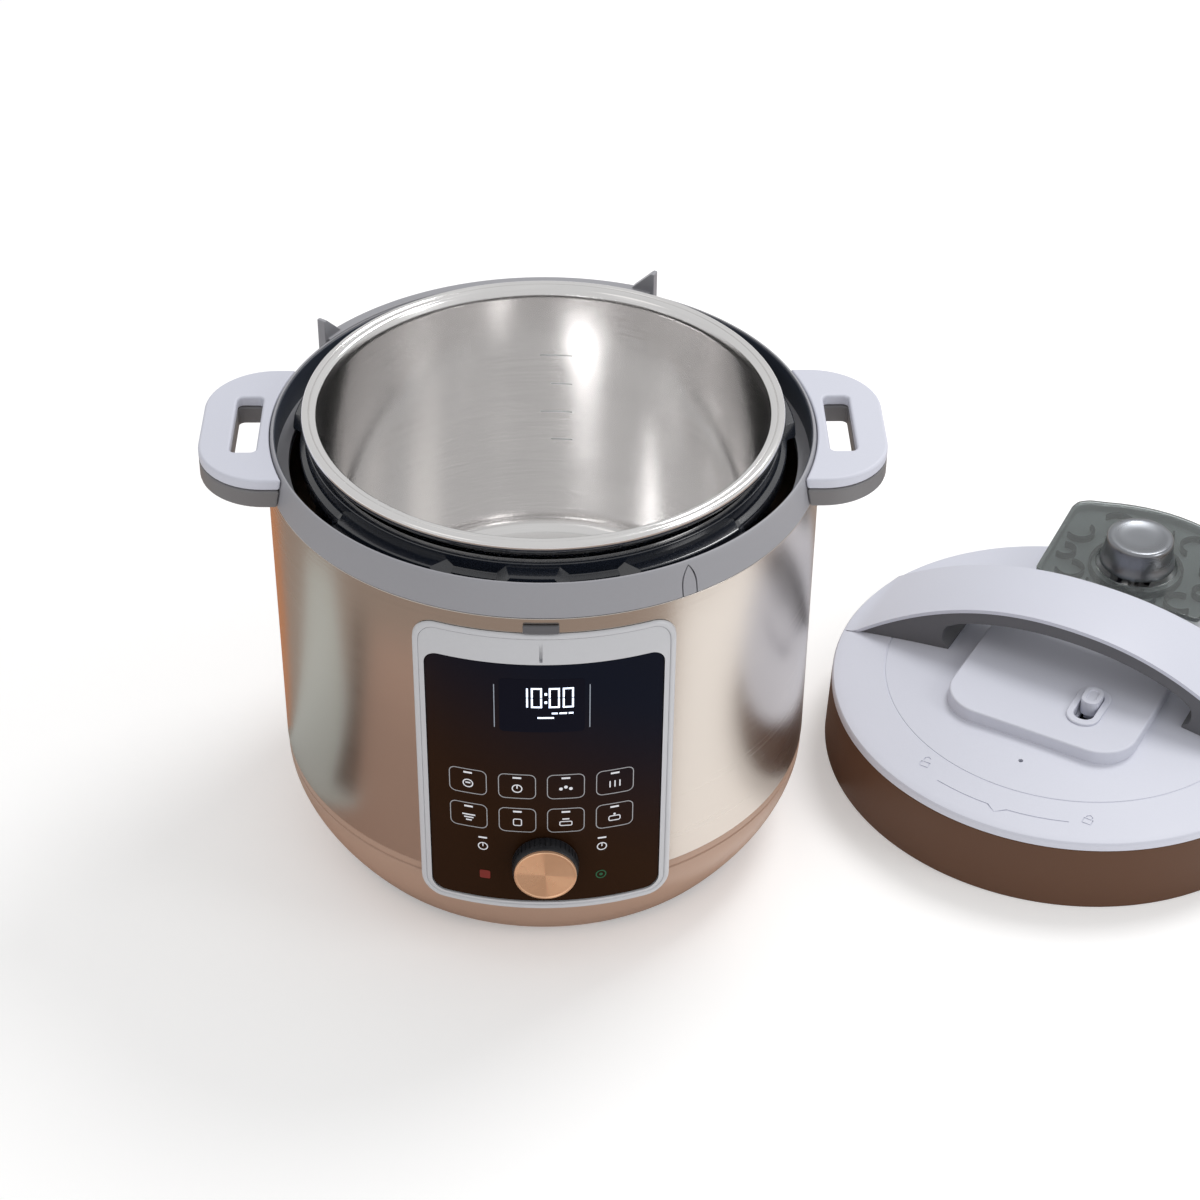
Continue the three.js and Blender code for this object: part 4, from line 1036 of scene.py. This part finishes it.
def makeMaze():
    # Curved baffles round the valve that slow the steam.
    ribs = []
    for x, y, radius, start, end in [
            (0, valve["y"], 26.5, -150, 150), (-33, 80, 8, -60, 190), (33, 80, 8, 170, 420),
            (-15, 74.5, 5.2, -100, 100), (15, 74.5, 5.2, -100, 100), (0, 72.6, 3.6, 80, 280),
            (-42, 96, 6, -30, 200), (42, 96, 6, 160, 390), (-24, 136, 9, 20, 250),
            (24, 136, 9, 110, 340), (0, 141, 8, -110, 110), (-41, 118, 8, -40, 150),
            (41, 118, 8, 210, 400)]:
        near, far, low, high = radius - 0.7, radius + 0.7, tray["lip"] + 1.9, tray["top"] - 0.3
        rib = spun([(near, low), (far, low), (far, high), (near, high)], 24, start, end)
        ribs.append(moved(rib, shift(x, y)))
    return gathered(ribs)


lidPiece("steam_baffles", makeMaze(), "lid", "grey_plastic", look="black_plastic")

knobHole = moved(rod(23, 50, 70, 64), shift(0, valve["y"]))
plate = carved(raised(trayOutline(0), tray["top"] + 0.3, tray["cover"]), knobHole)
lidPiece("smoked_cover", plate, "cover", "smoked_plastic", ["steam_cover"], bevel=0.9,
         segments=3, angle=45)

atValve = lidPlace @ Matrix.Translation((0, valve["y"] * mm, 0))
knob = softened([(0, 64.2), (valve["knobBase"], 64.2, 0.8), (valve["knobBase"], 66.5, 1.2),
                 (valve["knobR"] + 0.9, 71, 3), (valve["knobR"], valve["top"] - 0.4, 2.2),
                 (valve["knobR"] - 3.2, valve["top"], 1.5), (10, 80.9, 3), (0, 80.7)], 6)
finishPiece("release_knob", spun(knob, 96), "valve", "polished_steel", ["steam_release_knob"],
            place=atValve, look="knob_steel")
stem = softened([(0, 30), (3.2, 30, 0.4), (3.2, 44.4), (7, 44.4, 0.4), (7, 46.4, 0.4), (3.2, 46.4),
                 (3.2, 68), (0, 68)])
finishPiece("release_stem", spun(stem, small), "valve", "polished_steel", ["steam_release_stem"],
            place=atValve)
pin = softened([(0, 30.4), (3, 30.4, 0.3), (3, 46.4, 0.8), (0, 46.4)])
finishPiece("float_stem", spun(pin, small), "float", "polished_steel", ["float_pin"],
            place=lidPlace @ Matrix.Translation((floatPin["x"] * mm, floatPin["y"] * mm, 0)))
print("lid made")

slotOf = {entry["node"]: entry["material_slot"] for entry in frame["record"]["subparts"]}
for name, node in frame["nodes"].items():
    if node.hide_render:
        continue
    node.data.materials.clear()
    node.data.materials.append(finishes[slotOf[name]])

studio = {"world": 0.68, "key": 12.5, "side": 4.5, "fill": 0.8, "table": -0.004}


def plainMaterial(name, colour, roughness, glow=0.0):
    material = bpy.data.materials.new(name)
    material.use_nodes = True
    fill(material.node_tree.nodes["Principled BSDF"], Base_Color=(*colour, 1),
         Roughness=roughness, Emission_Color=(1, 1, 1, 1), Emission_Strength=glow)
    return material


def makeSheet(name, size, matrix, material):
    bm = bmesh.new()
    bmesh.ops.create_grid(bm, x_segments=1, y_segments=1, size=0.5)
    moved(bm, matrix @ Matrix.Diagonal((size[0], size[1], 1, 1)))
    sheet = addObject(name, meshOf(bm, name))
    sheet.data.materials.append(material)
    return sheet


makeSheet("floor", (14, 14), shift(z=studio["table"]),
          plainMaterial("floor_paint", (0.86, 0.86, 0.86), 0.9, 0.24))
cards = [("card_table", (3.2, 2.6), (0, -0.5), 0, 0.0004, (0.36, 0.28, 0.23), 0),
         ("card_left", (0.26, 0.12), (-0.22, 0.17), -42, 0.0008, (0.62, 0.24, 0.09), 0),
         ("card_pale_left", (0.30, 0.13), (-0.31, -0.02), -4, 0.0008, (0.62, 0.66, 0.64), 0),
         ("card_dark_left", (0.24, 0.035), (-0.29, -0.115), 20, 0.0009, (0.13, 0.09, 0.07), 0),
         ("card_warm_left", (0.30, 0.17), (-0.2, -0.185), 34, 0.0007, (0.50, 0.335, 0.265), 0),
         ("card_pale_right", (0.40, 0.28), (0.315, -0.133), -36, 0.0008, (0.95, 0.92, 0.89),
          0.14)]
for name, size, (x, y), direction, lift, colour, glow in cards:
    # Coloured cloths on the table, seen only as reflections in the metal and the panel.
    card = makeSheet(name, size, shift(x, y, studio["table"] + lift) @ turn(direction),
                     plainMaterial(f"{name}_paint", colour, 0.9, glow))
    card.visible_camera = card.visible_diffuse = card.visible_shadow = False
    card.visible_transmission = False

world = bpy.data.worlds.new("studio")
bpy.context.scene.world = world
world.use_nodes = True
fill(world.node_tree.nodes["Background"], Color=(1, 1, 1, 1), Strength=studio["world"])


def makeLight(name, place, target, size, energy, colour=(1, 1, 1)):
    data = bpy.data.lights.new(name, "AREA")
    data.shape, data.size, data.energy, data.color = "DISK", size, energy, colour
    light = addObject(name, data)
    light.location = place
    light.rotation_euler = (Vector(target) - Vector(place)).to_track_quat("-Z", "Y").to_euler()


makeLight("key", (0.75, 0.75, 1.6), (0.1, 0, 0.1), 0.7, studio["key"])
makeLight("side", (1.5, -0.7, 0.9), (0.05, 0, 0.15), 0.6, studio["side"])
makeLight("fill", (-1.1, -1.0, 1.1), (0, 0, 0.1), 1.0, studio["fill"], (1, 0.96, 0.92))

lens = {"place": (0.00197, -1.1086, 0.9663), "yaw": -1.397, "pitch": 52.75, "roll": 0.629,
        "length": 79.8}
cameraData = bpy.data.cameras.new("camera")
cameraData.lens, cameraData.sensor_width = lens["length"], 36
camera = addObject("camera", cameraData)
camera.matrix_world = (Matrix.Translation(lens["place"]) @ turn(lens["yaw"])
                       @ turn(lens["pitch"], "X") @ turn(lens["roll"]))
bpy.context.scene.camera = camera
bpy.context.scene.view_settings.view_transform = "Standard"

print("scene done")
